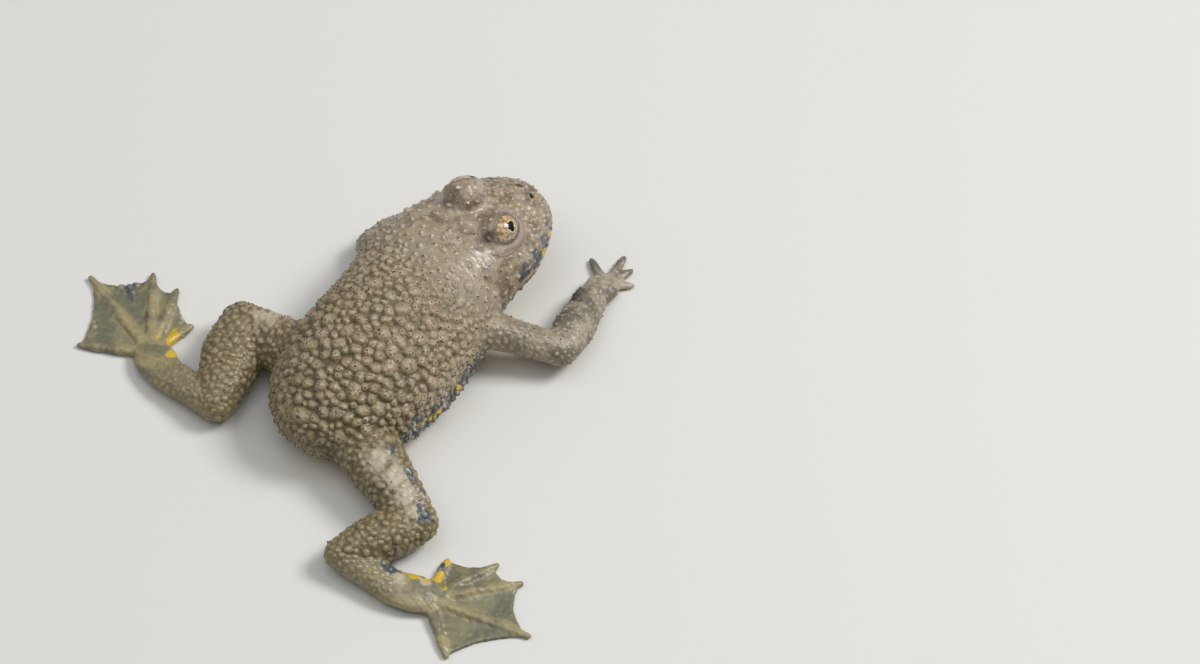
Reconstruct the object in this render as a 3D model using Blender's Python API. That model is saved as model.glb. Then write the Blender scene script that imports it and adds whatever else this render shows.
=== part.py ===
"""Yellow-bellied toad, one of the fire-bellied toads, as a still life-size model.

It is drawn in millimetres and brought to metres at the end. +Z is up, the floor is z = 0,
the toad faces -Y and its left side is +X. Each node is one closed body, and two nodes that
meet are kept apart by a thin gap.
"""

import math

import bmesh
import bpy
import numpy as np
from mathutils import Matrix, Vector
from mathutils.bvhtree import BVHTree

# Driving sizes, in millimetres and degrees
TO_METRES = 0.001
GAP = 0.3
SEED = 41

# Trunk: distance along the body, half width, underside, top and height of the widest line
TRUNK = (
    (22.0, 0.0, 5.6, 5.6, 5.6),
    (21.4, 2.6, 3.6, 7.2, 5.4),
    (19.6, 5.6, 1.6, 9.3, 5.2),
    (16.6, 8.0, 0.1, 11.3, 4.8),
    (12.5, 9.4, -0.35, 13.1, 4.5),
    (7.0, 9.9, -0.45, 14.3, 4.4),
    (1.0, 9.8, -0.45, 14.7, 4.5),
    (-4.5, 9.6, 0.0, 14.4, 5.2),
    (-9.0, 9.0, 1.6, 13.7, 6.4),
    (-13.0, 8.2, 3.0, 13.1, 7.0),
    (-16.5, 7.6, 4.1, 12.5, 7.3),
    (-19.5, 6.2, 4.9, 11.5, 7.7),
    (-21.8, 4.4, 5.7, 10.6, 8.1),
    (-23.2, 2.3, 6.7, 9.7, 8.3),
    (-23.6, 0.0, 8.3, 8.3, 8.3),
)
BACK_POWER = 0.92
BELLY_POWER = 0.72
TRUNK_BOW = -2.0
BOW_FROM, BOW_TO = -12.0, 6.0
NECK_Y = -9.6
HEAD_TURN = 9.0
TURN_FROM, TURN_TO = -5.0, -12.0
TURN_PIVOT_Y = -7.0

# Eyes and lids, each with its own lift, as in the photo
EYE_PLACE = Vector((3.3, -14.5, 12.2))
EYE_RADIUS = 2.35
EYE_AXES = {"left": Vector((0.70, -0.36, 0.62)), "right": Vector((0.56, -0.28, 0.78))}
EYE_LIFTS = {"left": 0.65, "right": -0.15}
MOUND_PLACE = Vector((3.6, -14.6, 11.5))
MOUND_HALF_SIZES = (2.7, 3.05, 2.75)
LID_RADIUS = 2.95
LID_OPENING = (1.95, 1.55)
LID_SLANT = 30.0
LID_RING_RADIUS = 0.42
LID_RING_REACH = 2.75
LID_RING_MARGIN = 0.25
OPENING_DEPTH = 4.0
OPENING_SHARES = (0.8, 1.25)

# Mouth and nostrils
MOUTH_CORNER_Y = -13.9
MOUTH_HEIGHT_TIP = 7.5
MOUTH_HEIGHT_MIDDLE = 7.7
MOUTH_HEIGHT_CORNER = 6.3
MOUTH_GROOVE_RADIUS = 0.28
MOUTH_POINTS = 15
MOUTH_CURVE = 1.6
MOUTH_MIDDLE_SHARE = 0.4
MOUTH_TIP_INSET = 0.25
NOSTRIL_PLACE = (0.85, -21.4)
NOSTRIL_RADIUS = 0.3
NOSTRIL_SINK = 0.5
NOSTRIL_AXIS = Vector((0.5, -0.45, 0.7))
NOSTRIL_INWARD, NOSTRIL_OUTWARD = 0.6, 2.0
LIP_RADIUS = 0.5
LIP_RISE = 0.5
LIP_INSET = 0.3

# Limb sections: place along the segment, half width and half height
UPPER_ARM = ((0.0, 2.5, 2.6), (0.5, 2.1, 2.2), (1.0, 1.9, 2.0))
FOREARM = ((0.0, 2.2, 2.1), (0.4, 2.6, 2.4), (0.8, 2.1, 1.8), (1.0, 1.8, 1.5))
THIGH = ((0.0, 3.9, 3.6), (0.4, 3.6, 3.4), (0.75, 3.0, 2.9), (1.0, 2.5, 2.6))
SHANK = ((0.0, 2.6, 2.6), (0.35, 3.1, 3.0), (0.7, 2.9, 2.7), (1.0, 2.1, 2.1))
WIDE_SHANK = ((0.0, 3.0, 2.7), (0.35, 3.9, 3.1), (0.7, 3.3, 2.8), (1.0, 2.3, 2.1))
TARSUS = ((0.0, 2.1, 1.9), (0.5, 2.1, 1.6), (1.0, 2.4, 1.4))
PALM = ((0.0, 1.8, 1.3), (0.6, 2.3, 1.2), (1.0, 2.0, 1.0))
SOLE = ((0.0, 2.4, 1.3), (0.6, 2.7, 1.2), (1.0, 2.4, 1.0))

# Joint places of each limb
ARMS = {
    "right": {
        "shoulder": (-8.0, -4.4, 6.0),
        "elbow": (-17.4, -9.6, 3.4),
        "wrist": (-14.6, -19.6, 1.6),
        "palm": (-14.3, -22.2, 1.0),
        "fingers": ((-10.0, -24.4), (-13.2, -27.4), (-15.3, -26.4), (-17.0, -24.6)),
    },
    "left": {
        "shoulder": (6.5, -5.0, 5.4),
        "elbow": (10.7, -7.6, 2.6),
        "wrist": (8.6, -15.6, 1.6),
        "palm": (8.2, -18.0, 1.0),
        "fingers": ((5.0, -21.0), (7.3, -22.8), (9.6, -22.6), (11.3, -20.6)),
    },
}
LEGS = {
    "right": {
        "hip": (-6.4, 16.0, 4.8),
        "knee": (-20.1, 20.9, 3.3),
        "shank": SHANK,
        "heel": (-15.6, 29.6, 2.4),
        "ankle": (-23.3, 28.9, 1.5),
        "sole": (-26.9, 27.2, 1.1),
        "toes": ((-25.0, 20.9), (-30.3, 17.7), (-34.4, 18.0), (-40.0, 23.5), (-34.1, 32.2)),
    },
    "left": {
        "hip": (3.6, 11.2, 4.8),
        "knee": (15.0, 11.6, 3.3),
        "shank": WIDE_SHANK,
        "heel": (10.2, 22.4, 2.4),
        "ankle": (18.7, 22.2, 1.5),
        "sole": (22.3, 20.7, 1.1),
        "toes": ((21.1, 13.9), (26.3, 10.9), (30.2, 11.0), (36.0, 16.3), (30.4, 25.2)),
    },
}
DIGIT_ROOT_RADIUS = 0.82
DIGIT_MIDDLE_SHARE = 0.55
DIGIT_MIDDLE_RADIUS = 0.66
DIGIT_TIP_RADIUS = 0.5
DIGIT_ROOT_HEIGHT = 0.72
DIGIT_TIP_HEIGHT = 0.52
WEB_THICKNESS = 0.7
WEB_ROOT_DEPTH = 0.2
WEB_REACH = 0.88
WEB_HOLLOW = 0.78

# Numbers of faces
TRUNK_SIDES = 28
LIMB_SIDES = 14
DIGIT_SIDES = 6
TORSO_RINGS = 15
HEAD_RINGS = 13
TRUNK_TIP_INSET = 0.35
LIMB_CAP_ANGLES = (66, 42, 18)
DIGIT_CAP_ANGLES = (50,)
MOUND_SEGMENTS = 12
LID_SEGMENTS = 14
EYE_SEGMENTS = 16
RING_STEPS = 12
RING_SIDES = 6

# Warts: least and greatest radius, spacing in radii, and how far the skin must face up
WARTS = {
    "torso": (0.8, 1.15, 1.05, 0.0),
    "head": (0.52, 0.66, 1.9, 0.35),
    "upper_arm": (0.6, 0.7, 1.8, 0.4),
    "forearm": (0.6, 0.7, 2.1, 0.5),
    "thigh": (0.7, 0.9, 1.6, 0.25),
    "shank": (0.7, 0.9, 1.55, 0.25),
    "tarsus": (0.55, 0.65, 2.0, 0.5),
}
WART_HEIGHT = 0.58
WART_SINK = 0.1
WART_FLOOR = 1.6
WART_TRIES = 5000
WART_SEGMENTS = 6
WART_RINGS = 4
WART_MARGIN = 0.05
WART_SIZE_SPREAD = 0.35
LARGE_WART = 1.0
BACK_FROM, BACK_TO = 5.0, 13.0
EYE_CLEARANCE = 3.2
MOUTH_CLEARANCE = 0.35
NOSTRIL_CLEARANCE = 0.5

# Finishes
COLOURS = {
    "skin": (0.26, 0.21, 0.14, 1.0),
    "limb": (0.27, 0.23, 0.16, 1.0),
    "foot": (0.34, 0.31, 0.21, 1.0),
    "eye": (0.42, 0.29, 0.08, 1.0),
}
ROUGHNESS = 0.4


def smooth(value):
    """Ease from 0 to 1."""
    value = min(max(value, 0.0), 1.0)
    return value * value * (3.0 - 2.0 * value)


def trunk_at(place):
    """Trunk sizes at a place counted in stations, by a curve through the stations."""
    last = len(TRUNK) - 1
    place = min(max(place, 0.0), last - 1e-9)
    index = int(place)
    part = place - index
    rows = [np.array(TRUNK[min(max(index + step, 0), last)]) for step in (-1, 0, 1, 2)]
    before, start, end, after = rows
    slope_start = (end - before) / 2.0
    slope_end = (after - start) / 2.0
    square = part * part
    cube = square * part
    return (
        start * (2 * cube - 3 * square + 1)
        + slope_start * (cube - 2 * square + part)
        + end * (3 * square - 2 * cube)
        + slope_end * (cube - square)
    )


def place_of(y):
    """Place along the stations where the trunk reaches y."""
    low, high = 0.0, float(len(TRUNK) - 1)
    for _ in range(50):
        middle = (low + high) / 2.0
        if trunk_at(middle)[0] > y:
            low = middle
        else:
            high = middle
    return low


def trunk_point(place, angle):
    """Point of the trunk surface at a place and an angle about the body."""
    y, half_width, under, top, widest = trunk_at(place)
    across, up = math.cos(angle), math.sin(angle)
    power = BACK_POWER if up > 0 else BELLY_POWER
    x = half_width * math.copysign(abs(across) ** power, across)
    reach = top - widest if up > 0 else widest - under
    return Vector((x, y, widest + reach * math.copysign(abs(up) ** power, up)))


def side_of_trunk(y, z):
    """Half width of the trunk at y and height z."""
    _, half_width, under, top, widest = trunk_at(place_of(y))
    power = BACK_POWER if z > widest else BELLY_POWER
    reach = top - widest if z > widest else widest - under
    rise = min(abs(z - widest) / reach, 1.0) ** (1.0 / power)
    return half_width * math.sqrt(1.0 - rise * rise) ** power


def posed(point):
    """Bow the trunk and turn the head."""
    x, y, z = point
    x += TRUNK_BOW * smooth((y - BOW_FROM) / (BOW_TO - BOW_FROM))
    turn = -math.radians(HEAD_TURN) * smooth((y - TURN_FROM) / (TURN_TO - TURN_FROM))
    along = y - TURN_PIVOT_Y
    return Vector(
        (
            x * math.cos(turn) - along * math.sin(turn),
            x * math.sin(turn) + along * math.cos(turn) + TURN_PIVOT_Y,
            z,
        )
    )


def collection(name):
    """Make a collection in the scene."""
    made = bpy.data.collections.new(name)
    bpy.context.scene.collection.children.link(made)
    return made


def object_of(name, mesh_data, home):
    """Put a bmesh into a new object of a collection, faces outward."""
    bmesh.ops.recalc_face_normals(mesh_data, faces=mesh_data.faces)
    if mesh_data.calc_volume(signed=True) < 0:
        bmesh.ops.reverse_faces(mesh_data, faces=mesh_data.faces)
    mesh = bpy.data.meshes.new(name)
    mesh_data.to_mesh(mesh)
    mesh_data.free()
    made = bpy.data.objects.new(name, mesh)
    made.display_type = "WIRE" if home.hide_render else "TEXTURED"
    home.objects.link(made)
    return made


def loft(name, rings, home, start_tip=None, end_tip=None):
    """Closed body through rings of equal count. An end is a point, or flat where none is given."""
    body = bmesh.new()
    rows = [[body.verts.new(point) for point in ring] for ring in rings]
    count = len(rows[0])
    for near, far in zip(rows, rows[1:]):
        for index in range(count):
            after = (index + 1) % count
            body.faces.new((near[index], near[after], far[after], far[index]))
    for row, tip in ((rows[0], start_tip), (rows[-1], end_tip)):
        middle = tip or sum((vert.co for vert in row), Vector()) / count
        apex = body.verts.new(middle)
        for index in range(count):
            body.faces.new((row[index], row[(index + 1) % count], apex))
    return object_of(name, body, home)


def trunk_body(name, start_y, end_y, rings, home):
    """Loft part of the trunk between two distances along the body, still unposed."""
    first, last = place_of(start_y), place_of(end_y)
    turns = [2.0 * math.pi * side / TRUNK_SIDES for side in range(TRUNK_SIDES)]
    tips = {"start_tip": None, "end_tip": None}
    if start_y >= TRUNK[0][0]:
        first = TRUNK_TIP_INSET
        tips["start_tip"] = Vector((0.0, TRUNK[0][0], TRUNK[0][4]))
    if end_y <= TRUNK[-1][0]:
        last = len(TRUNK) - 1 - TRUNK_TIP_INSET
        tips["end_tip"] = Vector((0.0, TRUNK[-1][0], TRUNK[-1][4]))
    places = np.linspace(first, last, rings)
    sections = [[trunk_point(place, turn) for turn in turns] for place in places]
    return loft(name, sections, home, **tips)


def limb_body(name, start, end, sections, sides, home):
    """Segment of a limb with round ends, from its sections."""
    start, end = Vector(start), Vector(end)
    along = (end - start).normalized()
    side = along.cross(Vector((0.0, 0.0, 1.0))).normalized()
    up = side.cross(along)
    caps = LIMB_CAP_ANGLES if sides > DIGIT_SIDES else DIGIT_CAP_ANGLES
    angles = [math.radians(angle) for angle in caps]
    first_cap, last_cap = min(sections[0][1:]), min(sections[-1][1:])
    stations = [(sections[0], -first_cap * math.sin(angle), math.cos(angle)) for angle in angles]
    stations += [(section, 0.0, 1.0) for section in sections]
    stations += [(sections[-1], last_cap * math.sin(angle), math.cos(angle)) for angle in reversed(angles)]
    turns = [2.0 * math.pi * step / sides for step in range(sides)]
    rings = []
    for (share, half_width, half_height), shift, fall in stations:
        centre = start.lerp(end, share) + along * shift
        wide, high = side * half_width * fall, up * half_height * fall
        rings.append([centre + wide * math.cos(turn) + high * math.sin(turn) for turn in turns])
    return loft(name, rings, home, start - along * first_cap, end + along * last_cap)


def ellipsoid(name, centre, half_sizes, turn, segments, home):
    """Ellipsoid turned by a matrix."""
    body = bmesh.new()
    bmesh.ops.create_uvsphere(body, u_segments=segments, v_segments=segments * 5 // 8, radius=1.0)
    scale = Matrix.Diagonal((*half_sizes, 1.0))
    body.transform(Matrix.Translation(centre) @ turn.to_4x4() @ scale)
    return object_of(name, body, home)


def boolean(target, tools, operation, solver="MANIFOLD"):
    """Apply one Boolean of a group of objects to the target, and remove them."""
    group = bpy.data.collections.new("boolean_tools")
    bpy.context.scene.collection.children.link(group)
    for tool in tools:
        for home in list(tool.users_collection):
            home.objects.unlink(tool)
        group.objects.link(tool)
    modifier = target.modifiers.new("boolean", "BOOLEAN")
    modifier.operation = operation
    modifier.operand_type = "COLLECTION"
    modifier.collection = group
    modifier.solver = solver
    bpy.context.view_layer.update()
    evaluated = target.evaluated_get(bpy.context.evaluated_depsgraph_get())
    result = bpy.data.meshes.new_from_object(evaluated)
    target.modifiers.clear()
    old = target.data
    target.data = result
    bpy.data.meshes.remove(old)
    for tool in tools:
        bpy.data.objects.remove(tool, do_unlink=True)
    bpy.data.collections.remove(group)
    keep_largest(target)


def keep_largest(target):
    """Keep only the closed surface that holds the most."""
    body = bmesh.new()
    body.from_mesh(target.data)
    bmesh.ops.triangulate(body, faces=body.faces)
    left = set(body.verts)
    shells = []
    while left:
        shell = {left.pop()}
        front = list(shell)
        while front:
            vert = front.pop()
            for edge in vert.link_edges:
                other = edge.other_vert(vert)
                if other in left:
                    left.remove(other)
                    shell.add(other)
                    front.append(other)
        volume = 0.0
        for face in {face for vert in shell for face in vert.link_faces}:
            a, b, c = (vert.co for vert in face.verts)
            volume += a.dot(b.cross(c))
        shells.append((abs(volume), shell))
    shells.sort(key=lambda pair: pair[0], reverse=True)
    extra = [vert for _, shell in shells[1:] for vert in shell]
    bmesh.ops.delete(body, geom=extra, context="VERTS")
    body.to_mesh(target.data)
    body.free()


def swollen(source, amount, home):
    """Copy of an object, each point moved out along its normal."""
    body = bmesh.new()
    body.from_mesh(source.data)
    body.normal_update()
    moved = [(vert, vert.co + vert.normal * amount * vert.calc_shell_factor()) for vert in body.verts]
    for vert, place in moved:
        vert.co = place
    return object_of(source.name + "_swollen", body, home)


def flatten_below_floor(target):
    """Cut the body off at the floor with a flat."""
    body = bmesh.new()
    body.from_mesh(target.data)
    geometry = body.verts[:] + body.edges[:] + body.faces[:]
    cut = bmesh.ops.bisect_plane(
        body, geom=geometry, plane_co=(0, 0, 0), plane_no=(0, 0, -1), clear_outer=True, dist=1e-5
    )
    edges = [item for item in cut["geom_cut"] if isinstance(item, bmesh.types.BMEdge)]
    if edges:
        bmesh.ops.holes_fill(body, edges=edges, sides=0)
    bmesh.ops.triangulate(body, faces=body.faces)
    body.to_mesh(target.data)
    body.free()


def move_points(target, change):
    """Move each point of a mesh by a function."""
    for vert in target.data.vertices:
        vert.co = change(vert.co)
    target.data.update()


def tube(name, points, radius, home):
    """Round tube through points, by a curve with a bevel."""
    curve = bpy.data.curves.new(name, "CURVE")
    curve.dimensions = "3D"
    curve.bevel_depth = radius
    curve.bevel_resolution = 1
    curve.use_fill_caps = True
    line = curve.splines.new("POLY")
    line.points.add(len(points) - 1)
    for place, point in zip(line.points, points):
        place.co = (*point, 1.0)
    guide = bpy.data.objects.new(name, curve)
    bpy.context.scene.collection.objects.link(guide)
    bpy.context.view_layer.update()
    evaluated = guide.evaluated_get(bpy.context.evaluated_depsgraph_get())
    mesh = bpy.data.meshes.new_from_object(evaluated)
    bpy.data.objects.remove(guide, do_unlink=True)
    body = bmesh.new()
    body.from_mesh(mesh)
    bpy.data.meshes.remove(mesh)
    bmesh.ops.remove_doubles(body, verts=body.verts, dist=1e-4)
    return object_of(name, body, home)


def eye_turn(name, side):
    """Matrix that turns +Z to the eye's axis and +X to the long way of its opening."""
    axis = on_side(EYE_AXES[name], side).normalized()
    along = Vector((0.0, -1.0, 0.0))
    along = (along - axis * along.dot(axis)).normalized()
    along = Matrix.Rotation(-math.radians(LID_SLANT) * side, 3, axis) @ along
    return Matrix((along, axis.cross(along), axis)).transposed()


def on_side(place, side, lift=0.0):
    """Place or direction of the left side, brought to a side and lifted."""
    return Vector((place.x * side, place.y, place.z + lift))


def mouth_line(side):
    """Points of the mouth line on one side, from the snout's tip to the corner."""
    tip_y = TRUNK[-1][0]
    points = []
    start_y = tip_y + MOUTH_TIP_INSET
    for step in range(MOUTH_POINTS):
        share = step / (MOUTH_POINTS - 1)
        y = start_y + (MOUTH_CORNER_Y - start_y) * share**MOUTH_CURVE
        rise = smooth(share / MOUTH_MIDDLE_SHARE)
        fall = smooth((share - MOUTH_MIDDLE_SHARE) / (1.0 - MOUTH_MIDDLE_SHARE))
        height = MOUTH_HEIGHT_TIP + (MOUTH_HEIGHT_MIDDLE - MOUTH_HEIGHT_TIP) * rise
        height += (MOUTH_HEIGHT_CORNER - MOUTH_HEIGHT_MIDDLE) * fall
        points.append(Vector((side * side_of_trunk(y, height), y, height)))
    return points


def whole_mouth():
    """Points of the mouth line from one corner to the other."""
    return list(reversed(mouth_line(1))) + mouth_line(-1)[1:]


def nose_place(side):
    """Middle of the mouth of one nostril."""
    top = trunk_at(place_of(NOSTRIL_PLACE[1]))[3]
    return Vector((NOSTRIL_PLACE[0] * side, NOSTRIL_PLACE[1], top - NOSTRIL_SINK))


def bare_places(eyes):
    """Places that the warts keep clear of, each with its distance."""
    places = [(middle_of(eye), EYE_CLEARANCE) for eye in eyes]
    line = whole_mouth()
    for near, far in zip(line, line[1:]):
        places.append((posed(near), MOUTH_CLEARANCE))
        places.append((posed(near.lerp(far, 0.5)), MOUTH_CLEARANCE))
    places += [(posed(nose_place(side)), NOSTRIL_CLEARANCE) for side in (-1, 1)]
    return places


def build_head(parts, cutters):
    """Head with eye mounds and lids, cut for the eyes, mouth and nostrils."""
    head = trunk_body("head", NECK_Y - GAP / 2, TRUNK[-1][0], HEAD_RINGS, parts)
    added = []
    removed = []
    eyes = []
    for side, name in ((1, "left"), (-1, "right")):
        centre = on_side(EYE_PLACE, side, EYE_LIFTS[name])
        mound_centre = on_side(MOUND_PLACE, side, EYE_LIFTS[name])
        turn = eye_turn(name, side)
        level = Matrix.Identity(3)
        lid_sizes = (LID_RADIUS,) * 3
        socket_sizes = (EYE_RADIUS + GAP,) * 3
        eye_sizes = (EYE_RADIUS,) * 3
        added.append(ellipsoid("mound", mound_centre, MOUND_HALF_SIZES, level, MOUND_SEGMENTS, cutters))
        added.append(ellipsoid("lid", centre, lid_sizes, turn, LID_SEGMENTS, cutters))
        added.append(lid_rim(centre, turn, cutters))
        removed.append(ellipsoid("socket", centre, socket_sizes, turn, LID_SEGMENTS, cutters))
        removed.append(opening(centre, turn, cutters))
        removed.append(nostril(side, cutters))
        eyes.append(ellipsoid("eye_" + name, centre, eye_sizes, turn, EYE_SEGMENTS, parts))
    line = whole_mouth()
    removed.append(tube("mouth", line, MOUTH_GROOVE_RADIUS, cutters))
    middle = Vector((0.0, EYE_PLACE.y, MOUTH_HEIGHT_MIDDLE))
    rise = Vector((0.0, 0.0, LIP_RISE))
    lip = [point + (middle - point).normalized() * LIP_INSET + rise for point in line]
    added.append(tube("lip", lip, LIP_RADIUS, cutters))
    boolean(head, added, "UNION")
    boolean(head, removed, "DIFFERENCE")
    for body in [head] + eyes:
        move_points(body, posed)
    return head, eyes


def nostril(side, home):
    """Round cutter of one nostril."""
    nose = nose_place(side)
    outward = on_side(NOSTRIL_AXIS, side).normalized()
    ends = [nose - outward * NOSTRIL_INWARD, nose + outward * NOSTRIL_OUTWARD]
    return tube("nostril", ends, NOSTRIL_RADIUS, home)


def lid_rim(centre, turn, home):
    """Swollen rim of the lids, an oval ring about the opening at an even distance from the eye."""
    long_way, short_way = (half + LID_RING_MARGIN for half in LID_OPENING)
    places = []
    for step in range(RING_STEPS):
        angle = 2.0 * math.pi * step / RING_STEPS
        flat = Vector((long_way * math.cos(angle), short_way * math.sin(angle), 0.0))
        rise = math.sqrt(LID_RING_REACH**2 - flat.length_squared)
        places.append(centre + turn @ (flat + Vector((0.0, 0.0, rise))))
    middle = sum(places, Vector()) / RING_STEPS
    axis = turn.col[2]
    body = bmesh.new()
    rows = []
    for place in places:
        outward = (place - middle).normalized()
        row = []
        for side in range(RING_SIDES):
            angle = 2.0 * math.pi * side / RING_SIDES
            shift = outward * math.cos(angle) + axis * math.sin(angle)
            row.append(body.verts.new(place + shift * LID_RING_RADIUS))
        rows.append(row)
    for near, far in zip(rows, rows[1:] + rows[:1]):
        for side in range(RING_SIDES):
            after = (side + 1) % RING_SIDES
            body.faces.new((near[side], near[after], far[after], far[side]))
    return object_of("lid_rim", body, home)


def opening(centre, turn, home):
    """Oval column that opens the lids, wider outward."""
    body = bmesh.new()
    inner, outer = OPENING_SHARES
    bmesh.ops.create_cone(
        body, cap_ends=True, segments=LID_SEGMENTS, radius1=inner, radius2=outer, depth=OPENING_DEPTH
    )
    scale = Matrix.Diagonal((*LID_OPENING, 1.0, 1.0))
    middle = centre + turn.col[2] * OPENING_DEPTH / 2.0
    body.transform(Matrix.Translation(middle) @ turn.to_4x4() @ scale)
    return object_of("opening", body, home)


def build_web(name, root, toes, home):
    """Web between the toes, a plate with a hollow edge between each two."""
    root = Vector(root)
    outline = [Vector((root.x, root.y))]
    for index, toe in enumerate(toes):
        tip = Vector(toe)
        outline.append(outline[0].lerp(tip, WEB_REACH))
        if index + 1 < len(toes):
            middle = tip.lerp(Vector(toes[index + 1]), 0.5)
            outline.append(outline[0].lerp(middle, WEB_HOLLOW))
    body = bmesh.new()
    lower = [body.verts.new((*point, -WEB_ROOT_DEPTH)) for point in outline]
    upper = [body.verts.new((*point, WEB_THICKNESS)) for point in outline]
    count = len(outline)
    for index in range(1, count - 1):
        body.faces.new((lower[0], lower[index + 1], lower[index]))
        body.faces.new((upper[0], upper[index], upper[index + 1]))
    for index in range(count):
        after = (index + 1) % count
        body.faces.new((lower[index], lower[after], upper[after], upper[index]))
    return object_of(name, body, home)


def digit_body(root, tip, home):
    """Finger or toe from the root to the tip, lying on the floor."""
    start = Vector((root[0], root[1], DIGIT_ROOT_HEIGHT))
    end = Vector((tip[0], tip[1], DIGIT_TIP_HEIGHT))
    end -= (end - start).normalized() * DIGIT_TIP_RADIUS
    sections = (
        (0.0, DIGIT_ROOT_RADIUS, DIGIT_ROOT_RADIUS),
        (DIGIT_MIDDLE_SHARE, DIGIT_MIDDLE_RADIUS, DIGIT_MIDDLE_RADIUS),
        (1.0, DIGIT_TIP_RADIUS, DIGIT_TIP_RADIUS),
    )
    return limb_body("digit", start, end, sections, DIGIT_SIDES, home)


def build_hand(name, wrist, palm, fingers, home, cutters):
    """Palm and four fingers in one body."""
    hand = limb_body(name, wrist, palm, PALM, LIMB_SIDES, home)
    boolean(hand, [digit_body(palm, finger, cutters) for finger in fingers], "UNION")
    return hand


def build_foot(name, ankle, sole, toes, home, cutters):
    """Sole, five toes and the web in one body."""
    foot = limb_body(name, ankle, sole, SOLE, LIMB_SIDES, home)
    added = [digit_body(sole, toe, cutters) for toe in toes]
    added.append(build_web("web", sole, toes, cutters))
    boolean(foot, added, "UNION")
    return foot


def surface_samples(target, tries, rng):
    """Random points of a mesh with their normals, spread evenly by area."""
    mesh = target.data
    mesh.calc_loop_triangles()
    corners = np.array([[mesh.vertices[i].co for i in face.vertices] for face in mesh.loop_triangles])
    cross = np.cross(corners[:, 1] - corners[:, 0], corners[:, 2] - corners[:, 0])
    area = np.linalg.norm(cross, axis=1)
    picked = rng.choice(len(area), tries, p=area / area.sum())
    first, second = rng.random(tries), rng.random(tries)
    over = first + second > 1.0
    first[over], second[over] = 1.0 - first[over], 1.0 - second[over]
    a, b, c = (corners[picked, index] for index in range(3))
    points = a + first[:, None] * (b - a) + second[:, None] * (c - a)
    return points, cross[picked] / area[picked, None]


def tree_of(target):
    """Search tree of a body's faces."""
    body = bmesh.new()
    body.from_mesh(target.data)
    tree = BVHTree.FromBMesh(body)
    body.free()
    return tree


def middle_of(body):
    """Middle of a body's points."""
    points = [vert.co for vert in body.data.vertices]
    return sum(points, Vector()) / len(points)


def wart_size(point, least, greatest, rng):
    """Radius of a wart: largest on the middle of the back, smaller down the sides."""
    share = 0.5
    if greatest > LARGE_WART:
        share = smooth((point[2] - BACK_FROM) / (BACK_TO - BACK_FROM))
    share = min(max(share + rng.uniform(-WART_SIZE_SPREAD, WART_SIZE_SPREAD), 0.0), 1.0)
    return least + (greatest - least) * share


def raise_warts(target, sizes, others, bare, rng, home):
    """Fuse domed warts with the upper side of a body, clear of the other bodies."""
    least, greatest, spacing, facing = sizes
    trees = [tree_of(other) for other in others]
    points, normals = surface_samples(target, WART_TRIES, rng)
    kept = []
    for point, normal in zip(points, normals):
        radius = wart_size(point, least, greatest, rng)
        if normal[2] < facing or point[2] - radius < WART_FLOOR:
            continue
        place = Vector(point)
        if any((place - spot).length < distance + radius for spot, distance in bare):
            continue
        near = any((place - other).length < spacing * (radius + size) for other, size, _ in kept)
        if near:
            continue
        reach = radius + GAP + WART_MARGIN
        if any(tree.find_nearest(place, reach)[0] is not None for tree in trees):
            continue
        kept.append((place, radius, Vector(normal)))
    domes = [wart(place, radius, normal, rng, home) for place, radius, normal in kept]
    boolean(target, domes, "UNION")


def wart(place, radius, normal, rng, home):
    """One dome with its root in the skin."""
    body = bmesh.new()
    bmesh.ops.create_uvsphere(body, u_segments=WART_SEGMENTS, v_segments=WART_RINGS, radius=1.0)
    spin = Matrix.Rotation(rng.uniform(0.0, 2.0 * math.pi), 4, "Z")
    turn = Vector((0.0, 0.0, 1.0)).rotation_difference(normal).to_matrix().to_4x4()
    scale = Matrix.Diagonal((radius, radius, radius * WART_HEIGHT, 1.0))
    body.transform(Matrix.Translation(place - normal * radius * WART_SINK) @ turn @ scale @ spin)
    return object_of("wart", body, home)


def clear_of(target, others, cutters):
    """Cut the target back from the bodies it meets, leaving the gap."""
    boolean(target, [swollen(other, GAP, cutters) for other in others], "DIFFERENCE")


def finish(part, kind):
    """Give the part its own material and bring it to metres."""
    material = bpy.data.materials.new(part.name)
    material.use_nodes = True
    shader = next(node for node in material.node_tree.nodes if node.type == "BSDF_PRINCIPLED")
    shader.inputs["Base Color"].default_value = COLOURS[kind]
    shader.inputs["Roughness"].default_value = ROUGHNESS
    part.data.materials.clear()
    part.data.materials.append(material)
    part.data.transform(Matrix.Scale(TO_METRES, 4))
    part.data.update()


def build_arm(side, arm, trunk, parts, cutters):
    """Upper arm, forearm and hand of one side, each cut clear of what it meets."""
    upper = limb_body("upper_arm_" + side, arm["shoulder"], arm["elbow"], UPPER_ARM, LIMB_SIDES, parts)
    fore = limb_body("forearm_" + side, arm["elbow"], arm["wrist"], FOREARM, LIMB_SIDES, parts)
    hand = build_hand("hand_" + side, arm["wrist"], arm["palm"], arm["fingers"], parts, cutters)
    clear_of(upper, trunk, cutters)
    clear_of(fore, [upper] + trunk, cutters)
    clear_of(hand, [fore], cutters)
    return [(upper, "limb"), (fore, "limb"), (hand, "foot")]


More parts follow.
